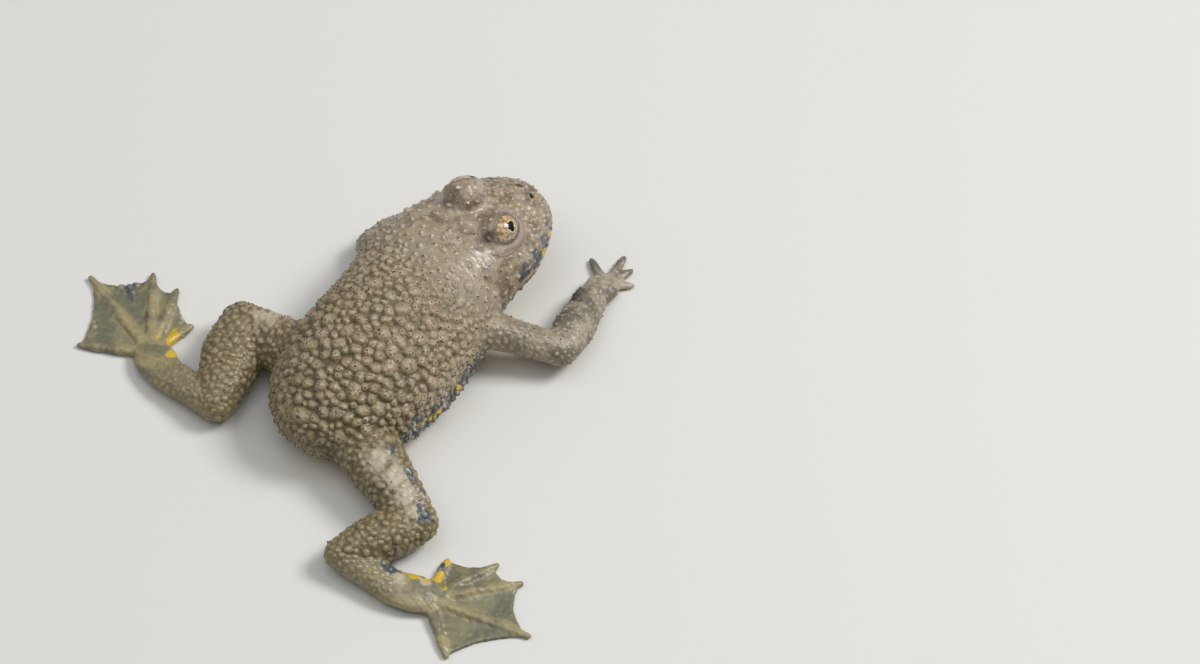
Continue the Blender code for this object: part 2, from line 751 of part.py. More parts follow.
def build_leg(side, leg, torso, parts, cutters):
    """Thigh, shank, tarsus and foot of one side, each cut clear of what it meets."""
    thigh = limb_body("thigh_" + side, leg["hip"], leg["knee"], THIGH, LIMB_SIDES, parts)
    shank = limb_body("shank_" + side, leg["knee"], leg["heel"], leg["shank"], LIMB_SIDES, parts)
    tarsus = limb_body("tarsus_" + side, leg["heel"], leg["ankle"], TARSUS, LIMB_SIDES, parts)
    foot = build_foot("foot_" + side, leg["ankle"], leg["sole"], leg["toes"], parts, cutters)
    clear_of(thigh, [torso], cutters)
    clear_of(shank, [thigh, torso], cutters)
    clear_of(tarsus, [shank, thigh], cutters)
    clear_of(foot, [tarsus, shank], cutters)
    return [(thigh, "limb"), (shank, "limb"), (tarsus, "limb"), (foot, "foot")]


def main():
    """Clear the scene, build every node, and finish them."""
    for old in list(bpy.data.objects):
        bpy.data.objects.remove(old, do_unlink=True)
    parts = collection("fire_bellied_toad")
    cutters = collection("toad_cutters")
    cutters.hide_render = True

    torso = trunk_body("torso", TRUNK[0][0], NECK_Y + GAP / 2, TORSO_RINGS, parts)
    move_points(torso, posed)
    head, eyes = build_head(parts, cutters)
    nodes = [(torso, "skin"), (head, "skin")] + [(eye, "eye") for eye in eyes]
    for side, arm in ARMS.items():
        nodes += build_arm(side, arm, [torso, head], parts, cutters)
    for side, leg in LEGS.items():
        nodes += build_leg(side, leg, torso, parts, cutters)

    rng = np.random.default_rng(SEED)
    bare = bare_places(eyes)
    for part, _ in nodes:
        kind = part.name.replace("_left", "").replace("_right", "")
        if kind in WARTS:
            others = [other for other, _ in nodes if other is not part]
            raise_warts(part, WARTS[kind], others, bare, rng, cutters)
    for part, kind in nodes:
        flatten_below_floor(part)
        finish(part, kind)


main()
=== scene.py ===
"""Yellow-bellied toad, one of the fire-bellied toads, as a still life-size model.

Shapes are drawn in millimetres and brought to metres when a mesh is made. +Z is up, the floor
is z = 0, the toad faces -Y and its left side is +X. One skin stands for every solid of flesh,
so it has no seams, and the eyes are pieces of their own.
"""

import itertools
import logging
import math
from dataclasses import dataclass, field
from enum import Enum
from functools import cached_property

import bpy
import numpy as np
from mathutils import Matrix, Vector
from mathutils.kdtree import KDTree


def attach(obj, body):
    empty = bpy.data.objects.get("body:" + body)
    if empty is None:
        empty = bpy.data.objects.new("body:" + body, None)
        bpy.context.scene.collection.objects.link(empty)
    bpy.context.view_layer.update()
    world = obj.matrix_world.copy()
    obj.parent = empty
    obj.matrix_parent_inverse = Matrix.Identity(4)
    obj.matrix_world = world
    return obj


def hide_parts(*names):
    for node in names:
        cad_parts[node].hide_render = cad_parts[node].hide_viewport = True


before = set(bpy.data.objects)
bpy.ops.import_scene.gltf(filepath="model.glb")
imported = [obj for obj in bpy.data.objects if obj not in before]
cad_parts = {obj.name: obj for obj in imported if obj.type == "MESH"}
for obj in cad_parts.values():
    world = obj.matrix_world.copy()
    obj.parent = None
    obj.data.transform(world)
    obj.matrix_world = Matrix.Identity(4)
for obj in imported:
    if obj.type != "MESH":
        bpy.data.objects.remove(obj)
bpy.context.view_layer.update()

LOG = logging.getLogger("toad")
TO_METRES = 0.001
ROOT_BODY = "root"
SIDES = {"right": -1, "left": 1}
EYE_AXES = {"right": (0.56, -0.28, 0.78), "left": (0.70, -0.36, 0.62)}
EYE_LIFTS = {"right": -0.15, "left": 0.65}
WAVES = 9
WAVE_LENGTHS = (1.3, 3.2)
TINY = 1e-6

Array = np.ndarray
Socket = bpy.types.NodeSocket
Pair = tuple[float, float]
Place = tuple[float, float, float]
Colour = tuple[float, float, float]
Sections = tuple[Place, ...]
Grid = dict[tuple[int, ...], list[tuple[list[float], float]]]


class Zone(Enum):
    """Parts of the body that differ in their skin."""

    TORSO = "torso"
    HEAD = "head"
    UPPER_ARM = "upper_arm"
    FOREARM = "forearm"
    HAND = "hand"
    THIGH = "thigh"
    SHANK = "shank"
    TARSUS = "tarsus"
    FOOT = "foot"


class Mark(Enum):
    """Markings that stand at places of their own."""

    YELLOW = "yellow"
    SLATE = "slate"
    PALE = "pale"
    SMUDGE = "smudge"
    PAD = "pad"


@dataclass(frozen=True)
class WartGrowth:
    """How warts grow in one zone.

    Attributes:
        radius: Middle radius of a wart's foot, in millimetres.
        spacing: Distance between middles, in radii.
        height: Rise of a wart of middle radius, in millimetres.
        horns: Share of warts that carry dark horny points.
        pale: How pale the tops of the warts are, from 0 to 1; the pale tops are partly a painted highlight.
    """

    radius: float
    spacing: float
    height: float
    horns: float
    pale: float


GROWTH = {
    Zone.TORSO: WartGrowth(0.72, 1.62, 0.38, 0.95, 0.25),
    Zone.HEAD: WartGrowth(0.27, 2.70, 0.12, 0.12, 1.00),
    Zone.UPPER_ARM: WartGrowth(0.30, 2.45, 0.12, 0.20, 0.10),
    Zone.FOREARM: WartGrowth(0.19, 3.90, 0.17, 0.05, 0.70),
    Zone.HAND: WartGrowth(0.20, 4.60, 0.05, 0.00, 0.60),
    Zone.THIGH: WartGrowth(0.42, 2.10, 0.22, 0.15, 0.20),
    Zone.SHANK: WartGrowth(0.42, 1.90, 0.20, 0.10, 0.12),
    Zone.TARSUS: WartGrowth(0.32, 2.10, 0.13, 0.05, 0.10),
    Zone.FOOT: WartGrowth(0.24, 3.40, 0.04, 0.00, 0.06),
}

# Size of the warts against the middle of the back, at places from the snout to the rump.
BACK_PLACES = (-12.0, -8.5, -4.0, 1.0, 11.0, 16.0, 21.0)
BACK_SIZES = (0.38, 0.42, 0.62, 0.88, 1.08, 1.02, 0.92)

# Place and reach of each marking.
MARKS = {
    Mark.YELLOW: (
        (-24.0, 26.4, 2.0, 1.05), (-25.8, 24.2, 1.2, 1.20), (-25.2, 21.2, 0.9, 1.05),
        (-8.6, -17.4, 7.8, 0.50), (-7.6, -19.7, 8.3, 0.42), (-12.0, 3.2, 4.6, 0.6),
        (-12.0, 7.6, 4.2, 0.7), (-11.2, -25.2, 0.8, 0.7), (-9.4, 20.2, 2.4, 0.6),
        (-10.8, 20.9, 2.2, 0.6), (19.3, 19.4, 1.6, 1.0), (21.2, 17.6, 1.2, 1.1),
    ),
    Mark.SLATE: (
        (-25.5, 23.0, 1.1, 0.6), (-24.9, 25.4, 1.8, 0.5), (-21.6, 27.6, 2.9, 1.3),
        (-25.3, 22.4, 1.0, 0.6), (-12.2, 6.6, 4.9, 1.4), (-12.1, 10.6, 4.8, 1.3),
        (-12.0, 1.6, 5.2, 1.2), (-12.6, 16.9, 7.1, 0.9), (-15.9, 17.4, 6.2, 0.75),
        (-17.6, 18.4, 5.8, 0.5), (-19.8, 19.9, 5.7, 0.7), (-21.2, 20.5, 5.4, 1.0),
        (-14.4, 16.9, 5.8, 0.7), (-18.6, 18.2, 5.2, 0.7), (-8.0, -18.2, 8.6, 1.1),
        (-8.6, -15.8, 8.5, 1.2), (-8.8, -13.4, 8.4, 1.1), (-7.6, -20.2, 8.4, 0.8),
        (8.4, 3.4, 5.0, 1.6), (8.0, 8.0, 4.8, 1.4), (17.0, 11.4, 4.6, 1.5),
        (5.2, -17.4, 7.4, 1.6), (-14.4, -14.0, 4.6, 0.8),
    ),
    Mark.SMUDGE: ((-4.5, -11.3, 13.2, 1.05),),
    Mark.PAD: ((-13.1, -18.4, 2.3, 1.20), (-14.0, -17.0, 3.5, 0.90), (7.3, -14.4, 2.2, 1.30)),
    Mark.PALE: (
        (-12.6, 18.6, 7.4, 1.8), (-15.3, 19.0, 6.8, 1.9), (-18.0, 20.0, 6.2, 1.7),
        (-19.8, 21.2, 5.8, 1.2), (-23.3, 27.9, 2.7, 1.2), (-25.6, 26.0, 2.0, 0.9),
        (-6.1, -11.9, 13.2, 0.95), (-9.0, -15.8, 7.4, 1.0), (-13.2, -14.6, 5.2, 1.2),
        (12.0, 10.2, 7.0, 2.2),
    ),
}
SOFT_MARKS = (Mark.PALE, Mark.SMUDGE)
SOFT_EDGE = (0.20, 1.40)
HARD_EDGE = (0.65, 1.15)


def ease(values: Array, start: float, end: float) -> Array:
    """Rise smoothly from 0 at one value to 1 at another."""
    share = np.clip((values - start) / (end - start), 0.0, 1.0)
    return share * share * (3.0 - 2.0 * share)


def fade(values: Array, start: float, end: float) -> Array:
    """Fall smoothly from 1 at one value to 0 at another."""
    return 1.0 - ease(values, start, end)


def bell(values: Array, width: float) -> Array:
    """Return 1 at nought, falling like a bell of the given width."""
    return np.exp(-((values / width) ** 2))


def unit(vectors: Array) -> Array:
    """Return each row scaled to length 1."""
    return vectors / np.maximum(np.linalg.norm(vectors, axis=-1, keepdims=True), 1e-9)


def most(*masks: Array) -> Array:
    """Return the greatest of several masks at each point."""
    return np.maximum.reduce(masks)


def mirrored(place: Place, side: int) -> Array:
    """Return a place or direction of the left side on the given side."""
    return np.array(place) * (side, 1, 1)


def circle(sides: int) -> tuple[Array, Array]:
    """Cosines and sines of even steps round a circle."""
    angles = np.linspace(0.0, math.tau, sides, endpoint=False)
    return np.cos(angles), np.sin(angles)


def ripple(points: Array, size: float, seed: int) -> Array:
    """Smooth irregular field from a few crossed waves.

    Args:
        points: Places, one a row, in millimetres.
        size: Rough width of a swelling, in millimetres.
        seed: Seed of the directions.

    Returns:
        One number a point, mostly from -1 to 1.
    """
    rng = np.random.default_rng(seed)
    total = np.zeros(len(points))
    for _ in range(WAVES):
        turn = unit(rng.normal(size=3)) * math.tau / (size * rng.uniform(*WAVE_LENGTHS))
        total += np.sin(points @ turn + rng.uniform(0.0, math.tau))
    return total / math.sqrt(WAVES)


def search_tree(points: Array) -> KDTree:
    """Sort points for quick searches.

    Args:
        points: Places, one a row.

    Returns:
        The tree of the points, by their row.
    """
    tree = KDTree(len(points))
    for index, place in enumerate(points.tolist()):
        tree.insert(place, index)
    tree.balance()
    return tree


@dataclass
class Patch:
    """Points and faces of one closed body."""

    points: Array
    faces: list[tuple[int, ...]]


def band(row: int, count: int) -> list[tuple[int, ...]]:
    """Faces between a ring of points and the next one.

    Args:
        row: First point of the ring.
        count: Number of points in a ring.

    Returns:
        Faces with four corners.
    """
    steps = [(row + step, row + (step + 1) % count) for step in range(count)]
    return [(near, after, count + after, count + near) for near, after in steps]


def loft(rings: list[Array], first_tip: Array, last_tip: Array) -> Patch:
    """Join rings of equal count into a closed body with a point at each end.

    Args:
        rings: Rings of points, in order.
        first_tip: Point before the first ring.
        last_tip: Point after the last ring.

    Returns:
        The closed body.
    """
    count = len(rings[0])
    points = np.concatenate([*rings, first_tip[None], last_tip[None]])
    first, last = len(points) - 2, len(points) - 1
    end = first - count
    faces = [face for row in range(0, end, count) for face in band(row, count)]
    for step in range(count):
        after = (step + 1) % count
        faces += [(after, step, first), (end + step, end + after, last)]
    return Patch(points, faces)


def join(patches: list[Patch]) -> Patch:
    """Put several bodies into one.

    Args:
        patches: The bodies.

    Returns:
        All their points and faces.
    """
    starts = itertools.accumulate((len(patch.points) for patch in patches), initial=0)
    faces = [
        tuple(start + index for index in face)
        for start, patch in zip(starts, patches)
        for face in patch.faces
    ]
    return Patch(np.concatenate([patch.points for patch in patches]), faces)


def ellipsoid(centre: Array, half_sizes: Place, turn: Array, segments: int) -> Patch:
    """Ellipsoid turned by a matrix.

    Args:
        centre: Its middle.
        half_sizes: Its three half sizes.
        turn: Matrix with its axes as columns.
        segments: Number of sides.

    Returns:
        The closed body.
    """
    cos, sin = circle(segments)
    rings = []
    for tilt in np.linspace(0.0, math.pi, segments // 2 + 1)[1:-1]:
        flat = np.full_like(cos, math.cos(tilt))
        ring = np.stack([cos * math.sin(tilt), sin * math.sin(tilt), flat], 1)
        rings.append(ring * half_sizes @ turn.T + centre)
    pole = turn[:, 2] * half_sizes[2]
    return loft(rings, centre + pole, centre - pole)


def new_mesh(name: str, body: Patch, scale: float = TO_METRES, smooth: bool = True) -> bpy.types.Mesh:
    """Make a mesh of a body.

    Args:
        name: Name of the mesh.
        body: Its points and faces.
        scale: Factor for the points.
        smooth: Whether its faces are shaded smooth.

    Returns:
        The mesh.
    """
    mesh = bpy.data.meshes.new(name)
    mesh.from_pydata((body.points * scale).tolist(), [], body.faces)
    if smooth:
        mesh.shade_smooth()
    return mesh


def place_object(name: str, data: bpy.types.ID) -> bpy.types.Object:
    """Put an object with the given data in the scene.

    Args:
        name: Name of the object.
        data: Its mesh, light or camera.

    Returns:
        The object.
    """
    made = bpy.data.objects.new(name, data)
    bpy.context.scene.collection.objects.link(made)
    return made


def applied(mesh: bpy.types.Mesh, kind: str, **settings: object) -> bpy.types.Mesh:
    """Apply one modifier to a mesh.

    Args:
        mesh: The mesh.
        kind: Kind of the modifier.
        settings: Its settings.

    Returns:
        The mesh that the modifier makes.
    """
    body = place_object(mesh.name, mesh)
    modifier = body.modifiers.new("step", kind)
    for name, value in settings.items():
        setattr(modifier, name, value)
    bpy.context.view_layer.update()
    evaluated = body.evaluated_get(bpy.context.evaluated_depsgraph_get())
    made = bpy.data.meshes.new_from_object(evaluated)
    bpy.data.objects.remove(body, do_unlink=True)
    return made


def rows_of(items: object, name: str, width: int = 3, kind: type = float) -> Array:
    """Read one property of all the points or edges of a mesh.

    Args:
        items: The points, edges or normals.
        name: The property.
        width: Numbers in a row.
        kind: Kind of number.

    Returns:
        One row for each item.
    """
    flat = np.empty(len(items) * width, kind)
    items.foreach_get(name, flat)
    return flat.reshape(-1, width)


def set_points(mesh: bpy.types.Mesh, points: Array) -> None:
    """Write the points of a mesh."""
    mesh.vertices.foreach_set("co", points.astype(np.float32).ravel())
    mesh.update()


def add_mask(mesh: bpy.types.Mesh, name: str, values: Array) -> None:
    """Write a number or a direction for each point of a mesh, for its material to read.

    Args:
        mesh: The mesh.
        name: Name of the mask.
        values: One number or one row a point.
    """
    kind, slot = ("FLOAT", "value") if values.ndim == 1 else ("FLOAT_VECTOR", "vector")
    attribute = mesh.attributes.new(name, kind, "POINT")
    attribute.data.foreach_set(slot, values.astype(np.float32).ravel())


@dataclass
class TrunkShape:
    """Trunk and head as one long body.

    Attributes:
        stations: Rows of place along the body, half width, underside, top and widest height.
        back_power: Roundness of the back, 1 for an ellipse.
        belly_power: Roundness of the belly.
        bow: Shift of the hind part to the side, which grows between bow_from and bow_to.
        head_turn: Turn of the head in degrees, which grows between turn_from and turn_to.
        turn_pivot: Place along the body that the head turns about.
        neck: Place along the body of the neck.
        least: Smallest half size used for distances.
        end_gap: Distance of the first and last ring from the ends, in stations.
        samples: Rows of the table along the body.
        sides: Number of points in a ring.
        rings: Number of rings.
    """

    stations: tuple[tuple[float, ...], ...] = (
        (22.0, 0.0, 5.6, 5.6, 5.6),
        (21.4, 2.6, 3.6, 7.2, 5.4),
        (19.6, 5.6, 1.6, 9.3, 5.2),
        (16.6, 8.0, 0.1, 11.3, 4.8),
        (12.5, 9.4, -0.35, 13.1, 4.5),
        (7.0, 9.9, -0.45, 14.3, 4.4),
        (1.0, 9.8, -0.45, 14.7, 4.5),
        (-4.5, 9.6, 0.0, 14.4, 5.2),
        (-9.0, 9.0, 1.6, 13.7, 6.4),
        (-13.0, 8.2, 3.0, 13.1, 7.0),
        (-16.5, 7.6, 4.1, 12.5, 7.3),
        (-19.5, 6.2, 4.9, 11.5, 7.7),
        (-21.8, 4.4, 5.7, 10.6, 8.1),
        (-23.2, 2.3, 6.7, 9.7, 8.3),
        (-23.6, 0.0, 8.3, 8.3, 8.3),
    )
    back_power: float = 0.92
    belly_power: float = 0.72
    bow: float = -2.0
    bow_from: float = -12.0
    bow_to: float = 6.0
    head_turn: float = 9.0
    turn_from: float = -5.0
    turn_to: float = -12.0
    turn_pivot: float = -7.0
    neck: float = -9.6
    least: float = 0.4
    end_gap: float = 0.12
    samples: int = 600
    sides: int = 96
    rings: int = 130

    def row_at(self, place: float) -> Array:
        """Sizes at a place counted in stations, by a curve through them.

        Args:
            place: Number of the station, with its fraction.

        Returns:
            Place along the body, half width, underside, top and widest height.
        """
        last = len(self.stations) - 1
        place = min(place, last - 1e-9)
        index = int(place)
        part = place - index
        steps = (index - 1, index, index + 1, index + 2)
        before, start, end, after = np.array([self.stations[min(max(step, 0), last)] for step in steps])
        square, cube = part * part, part**3
        return (
            start * (2 * cube - 3 * square + 1)
            + (end - before) / 2 * (cube - 2 * square + part)
            + end * (3 * square - 2 * cube)
            + (after - start) / 2 * (cube - square)
        )

    @cached_property
    def table(self) -> Array:
        """Rows of the curve through the stations, from the snout to the rump."""
        places = np.linspace(0.0, len(self.stations) - 1, self.samples)
        return np.array([self.row_at(place) for place in places])[::-1]

    def sizes_at(self, along: Array) -> tuple[Array, ...]:
        """Half width, underside, top and widest height at places along the body."""
        order = np.maximum.accumulate(self.table[:, 0])
        return tuple(np.interp(along, order, self.table[:, column]) for column in range(1, 5))

    def half_at(self, above: Array, under: Array, top: Array, widest: Array) -> tuple[Array, Array]:
        """Roundness and height of the upper or the lower half of the section."""
        power = np.where(above, self.back_power, self.belly_power)
        return power, np.where(above, top - widest, widest - under)

    def side_at(self, along: float, height: float) -> float:
        """Half width of the trunk at a place.

        Args:
            along: Place along the body.
            height: Height above the floor.

        Returns:
            The half width.
        """
        half_width, under, top, widest = (float(size) for size in self.sizes_at(along))
        power, reach = map(float, self.half_at(height > widest, under, top, widest))
        rise = min(abs(height - widest) / reach, 1.0) ** (1.0 / power)
        return half_width * math.sqrt(1.0 - rise * rise) ** power

    def turn_at(self, along: Array) -> tuple[Array, Array]:
        """Cosine and sine of the head's turn at places along the body."""
        turn = -math.radians(self.head_turn) * ease(along, self.turn_from, self.turn_to)
        return np.cos(turn), np.sin(turn)

    def posed(self, points: Array) -> Array:
        """Bow the trunk and turn the head.

        Args:
            points: Points of the straight body.

        Returns:
            The moved points.
        """
        x, y, z = np.moveaxis(np.asarray(points, float), -1, 0)
        x = x + self.bow * ease(y, self.bow_from, self.bow_to)
        cos, sin = self.turn_at(y)
        along = y - self.turn_pivot
        return np.stack([x * cos - along * sin, x * sin + along * cos + self.turn_pivot, z], -1)

    def unposed(self, points: Array) -> Array:
        """Undo the pose, by a few rounds of guessing the place along the body.

        Args:
            points: Points of the posed body.

        Returns:
            The points of the straight body.
        """
        x, y, z = points.T
        along = y - self.turn_pivot
        plain_x, plain_y = x, y
        for _ in range(6):
            cos, sin = self.turn_at(plain_y)
            plain_y = -x * sin + along * cos + self.turn_pivot
            plain_x = x * cos + along * sin - self.bow * ease(plain_y, self.bow_from, self.bow_to)
        return np.stack([plain_x, plain_y, z], -1)

    def nearness(self, plain: Array) -> Array:
        """Distance of points from the body's line.

        Args:
            plain: Points with the pose undone.

        Returns:
            Distances, 1 at the surface.
        """
        half_width, under, top, widest = self.sizes_at(plain[:, 1])
        power, reach = self.half_at(plain[:, 2] > widest, under, top, widest)
        across = np.abs(plain[:, 0]) / np.maximum(half_width, self.least)
        rise = np.abs(plain[:, 2] - widest) / np.maximum(reach, self.least)
        return (across ** (2.0 / power) + rise ** (2.0 / power)) ** (power / 2.0)

    def patch(self) -> Patch:
        """Build the trunk and head, posed.

        Returns:
            The closed body.
        """
        across, up = circle(self.sides)
        rings = []
        for place in np.linspace(self.end_gap, len(self.stations) - 1 - self.end_gap, self.rings):
            along, half_width, under, top, widest = self.row_at(place)
            power, reach = self.half_at(up > 0, under, top, widest)
            x = half_width * np.sign(across) * np.abs(across) ** power
            z = widest + reach * np.sign(up) * np.abs(up) ** power
            rings.append(self.posed(np.stack([x, np.full_like(x, along), z], 1)))
        rump, snout = (self.posed((0.0, self.stations[end][0], self.stations[end][4])) for end in (0, -1))
        return loft(rings, rump, snout)


@dataclass
class LimbPart:
    """One segment of a limb, with round ends.

    Attributes:
        zone: Kind of skin.
        start: Its first end.
        end: Its other end.
        sections: Rows of share of the length, half width and half height.
        sides: Number of sides.
        rows: Number of rings between its ends.
        cap_tilts: Angles of the rings of a round end.
    """

    zone: Zone
    start: Place
    end: Place
    sections: Sections
    sides: int = 36
    rows: int = 14
    cap_tilts: tuple[float, ...] = (0.3, 0.6, 0.9, 1.2)

    @cached_property
    def axes(self) -> tuple[Array, Array, Array, float]:
        """Directions along, sideways and up, and the length."""
        line = np.array(self.end) - np.array(self.start)
        length = float(np.linalg.norm(line))
        along = line / length
        side = unit(np.cross(along, (0.0, 0.0, 1.0)))
        return along, side, np.cross(side, along), length

    def size_at(self, share: Array) -> tuple[Array, Array]:
        """Half width and half height at shares of the length."""
        shares, widths, heights = zip(*self.sections)
        return np.interp(share, shares, widths), np.interp(share, shares, heights)

    def patch(self) -> Patch:
        """Build the segment.

        Returns:
            The closed body.
        """
        along, side, up, length = self.axes
        start = np.array(self.start)
        cos, sin = (wave[:, None] for wave in circle(self.sides))
        first_cap, last_cap = (min(self.sections[end][1:]) for end in (0, -1))
        tilts = [(math.cos(tilt), math.sin(tilt)) for tilt in self.cap_tilts]
        stations = [(0.0, -first_cap * out, fall) for out, fall in tilts]
        stations += [(share, 0.0, 1.0) for share in np.linspace(0.0, 1.0, self.rows)]
        stations += [(1.0, last_cap * out, fall) for out, fall in tilts[::-1]]
        rings = []
        for share, shift, fall in stations:
            width, height = self.size_at(share)
            ring = side * cos * width * fall + up * sin * height * fall
            rings.append(start + along * (share * length + shift) + ring)
        return loft(rings, start - along * first_cap, start + along * (length + last_cap))

    def nearness(self, points: Array) -> Array:
        """Distance of points from the segment's line.

        Args:
            points: Points of the skin.

        Returns:
            Distances, 1 at the surface.
        """
        along, side, up, length = self.axes
        offset = points - np.array(self.start)
        reach = offset @ along
        share = np.clip(reach / length, 0.0, 1.0)
        width, height = self.size_at(share)
        past = (reach - share * length) / np.minimum(width, height)
        return np.sqrt((offset @ side / width) ** 2 + (offset @ up / height) ** 2 + past**2)


FINGER: Sections = (
    (0.0, 0.80, 0.80),
    (0.35, 0.60, 0.60),
    (0.5, 0.68, 0.64),
    (0.64, 0.55, 0.54),
    (0.8, 0.58, 0.54),
    (1.0, 0.40, 0.40),
)
TOE: Sections = (
    (0.0, 0.95, 0.85),
    (0.3, 0.66, 0.66),
    (0.45, 0.74, 0.72),
    (0.6, 0.58, 0.58),
    (0.78, 0.64, 0.62),
    (0.9, 0.50, 0.50),
    (1.0, 0.42, 0.44),
)
ARM_SEGMENTS = {
    Zone.UPPER_ARM: ((0.0, 2.5, 2.6), (0.5, 2.1, 2.2), (1.0, 1.9, 2.0)),
    Zone.FOREARM: ((0.0, 2.2, 2.1), (0.4, 2.6, 2.4), (0.8, 2.1, 1.8), (1.0, 1.8, 1.5)),
    Zone.HAND: ((0.0, 1.8, 1.3), (0.6, 2.3, 1.2), (1.0, 2.0, 1.0)),
}
LEG_SEGMENTS = {
    Zone.THIGH: ((0.0, 3.9, 3.6), (0.4, 3.6, 3.4), (0.75, 3.0, 2.9), (1.0, 2.5, 2.6)),
    Zone.SHANK: ((0.0, 2.6, 2.6), (0.35, 3.1, 3.0), (0.7, 2.9, 2.7), (1.0, 2.1, 2.1)),
    Zone.TARSUS: ((0.0, 2.1, 1.9), (0.5, 2.1, 1.6), (1.0, 2.4, 1.4)),
    Zone.FOOT: ((0.0, 2.4, 1.3), (0.6, 2.7, 1.2), (1.0, 2.4, 1.0)),
}
FOLDED_SHANK = ((0.0, 3.0, 2.7), (0.35, 3.9, 3.1), (0.7, 3.3, 2.8), (1.0, 2.3, 2.1))
ARM_REACHES = (3.4, 2.6, 2.0, 1.6)
LEG_REACHES = (4.2, 2.6, 2.4, 2.2, 1.8)


@dataclass
class Limb:
    """Arm or hind leg of one side, from the trunk to the tips of its digits.

    Attributes:
        joints: Places of its joints, the palm or sole last.
        tips: Places of the digits' tips on the floor.
        segments: Zone and sections of each segment.
        digits: Sections of a finger or toe.
        reaches: How far the skin is drawn smooth round each joint.
        webbed: Whether a web joins the digits.
        digit_heights: Heights of the two ends of a digit's line.
        digit_sides: Number of sides of a digit.
        web_heights: Lower and upper side of the web.
        web_reach: How far the web reaches along a digit.
        web_hollow: How far it reaches half way between two.
    """

    joints: tuple[Place, ...]
    tips: tuple[Pair, ...]
    segments: dict[Zone, Sections]
    digits: Sections
    reaches: tuple[float, ...]
    webbed: bool = False
    digit_heights: Pair = (0.68, 0.36)
    digit_sides: int = 16
    web_heights: Pair = (-0.2, 0.50)
    web_reach: float = 0.94
    web_hollow: float = 0.85

    def digit(self, zone: Zone, tip: Pair) -> LimbPart:
        """Finger or toe that lies on the floor.

        Args:
            zone: Kind of skin.
            tip: Place of its tip on the floor.

        Returns:
            The digit, with slight swellings at its joints.
        """
        start = np.array((*self.joints[-1][:2], self.digit_heights[0]))
        end = np.array((*tip, self.digit_heights[1]))
        end -= unit(end - start) * self.digits[-1][1]
        return LimbPart(zone, tuple(start), tuple(end), self.digits, self.digit_sides)

    @cached_property
    def parts(self) -> list[LimbPart]:
        """Segments and digits of the limb."""
        ends = zip(self.joints, self.joints[1:])
        made = [LimbPart(zone, *pair, sizes) for (zone, sizes), pair in zip(self.segments.items(), ends)]
        return made + [self.digit(made[-1].zone, tip) for tip in self.tips]

    def web(self) -> list[Patch]:
        """Build the web between the toes, with a hollow edge between each two.

        Returns:
            The web, or nothing on a limb without one.
        """
        if not self.webbed:
            return []
        root = np.array(self.joints[-1][:2])
        tips = np.array(self.tips)
        outline = [root, root + (tips[0] - root) * self.web_reach]
        for tip, after in zip(tips, tips[1:]):
            for share in (0.25, 0.5, 0.75):
                hollow = self.web_reach - (self.web_reach - self.web_hollow) * math.sin(math.pi * share)
                outline.append(root + (tip + (after - tip) * share - root) * hollow)
            outline.append(root + (after - root) * self.web_reach)
        count = len(outline)
        sheets = [np.column_stack([outline, np.full(count, height)]) for height in self.web_heights]
        faces: list[tuple[int, ...]] = []
        for step in range(1, count - 1):
            faces += [(0, step + 1, step), (count, count + step, count + step + 1)]
        return [Patch(np.concatenate(sheets), faces + band(0, count))]


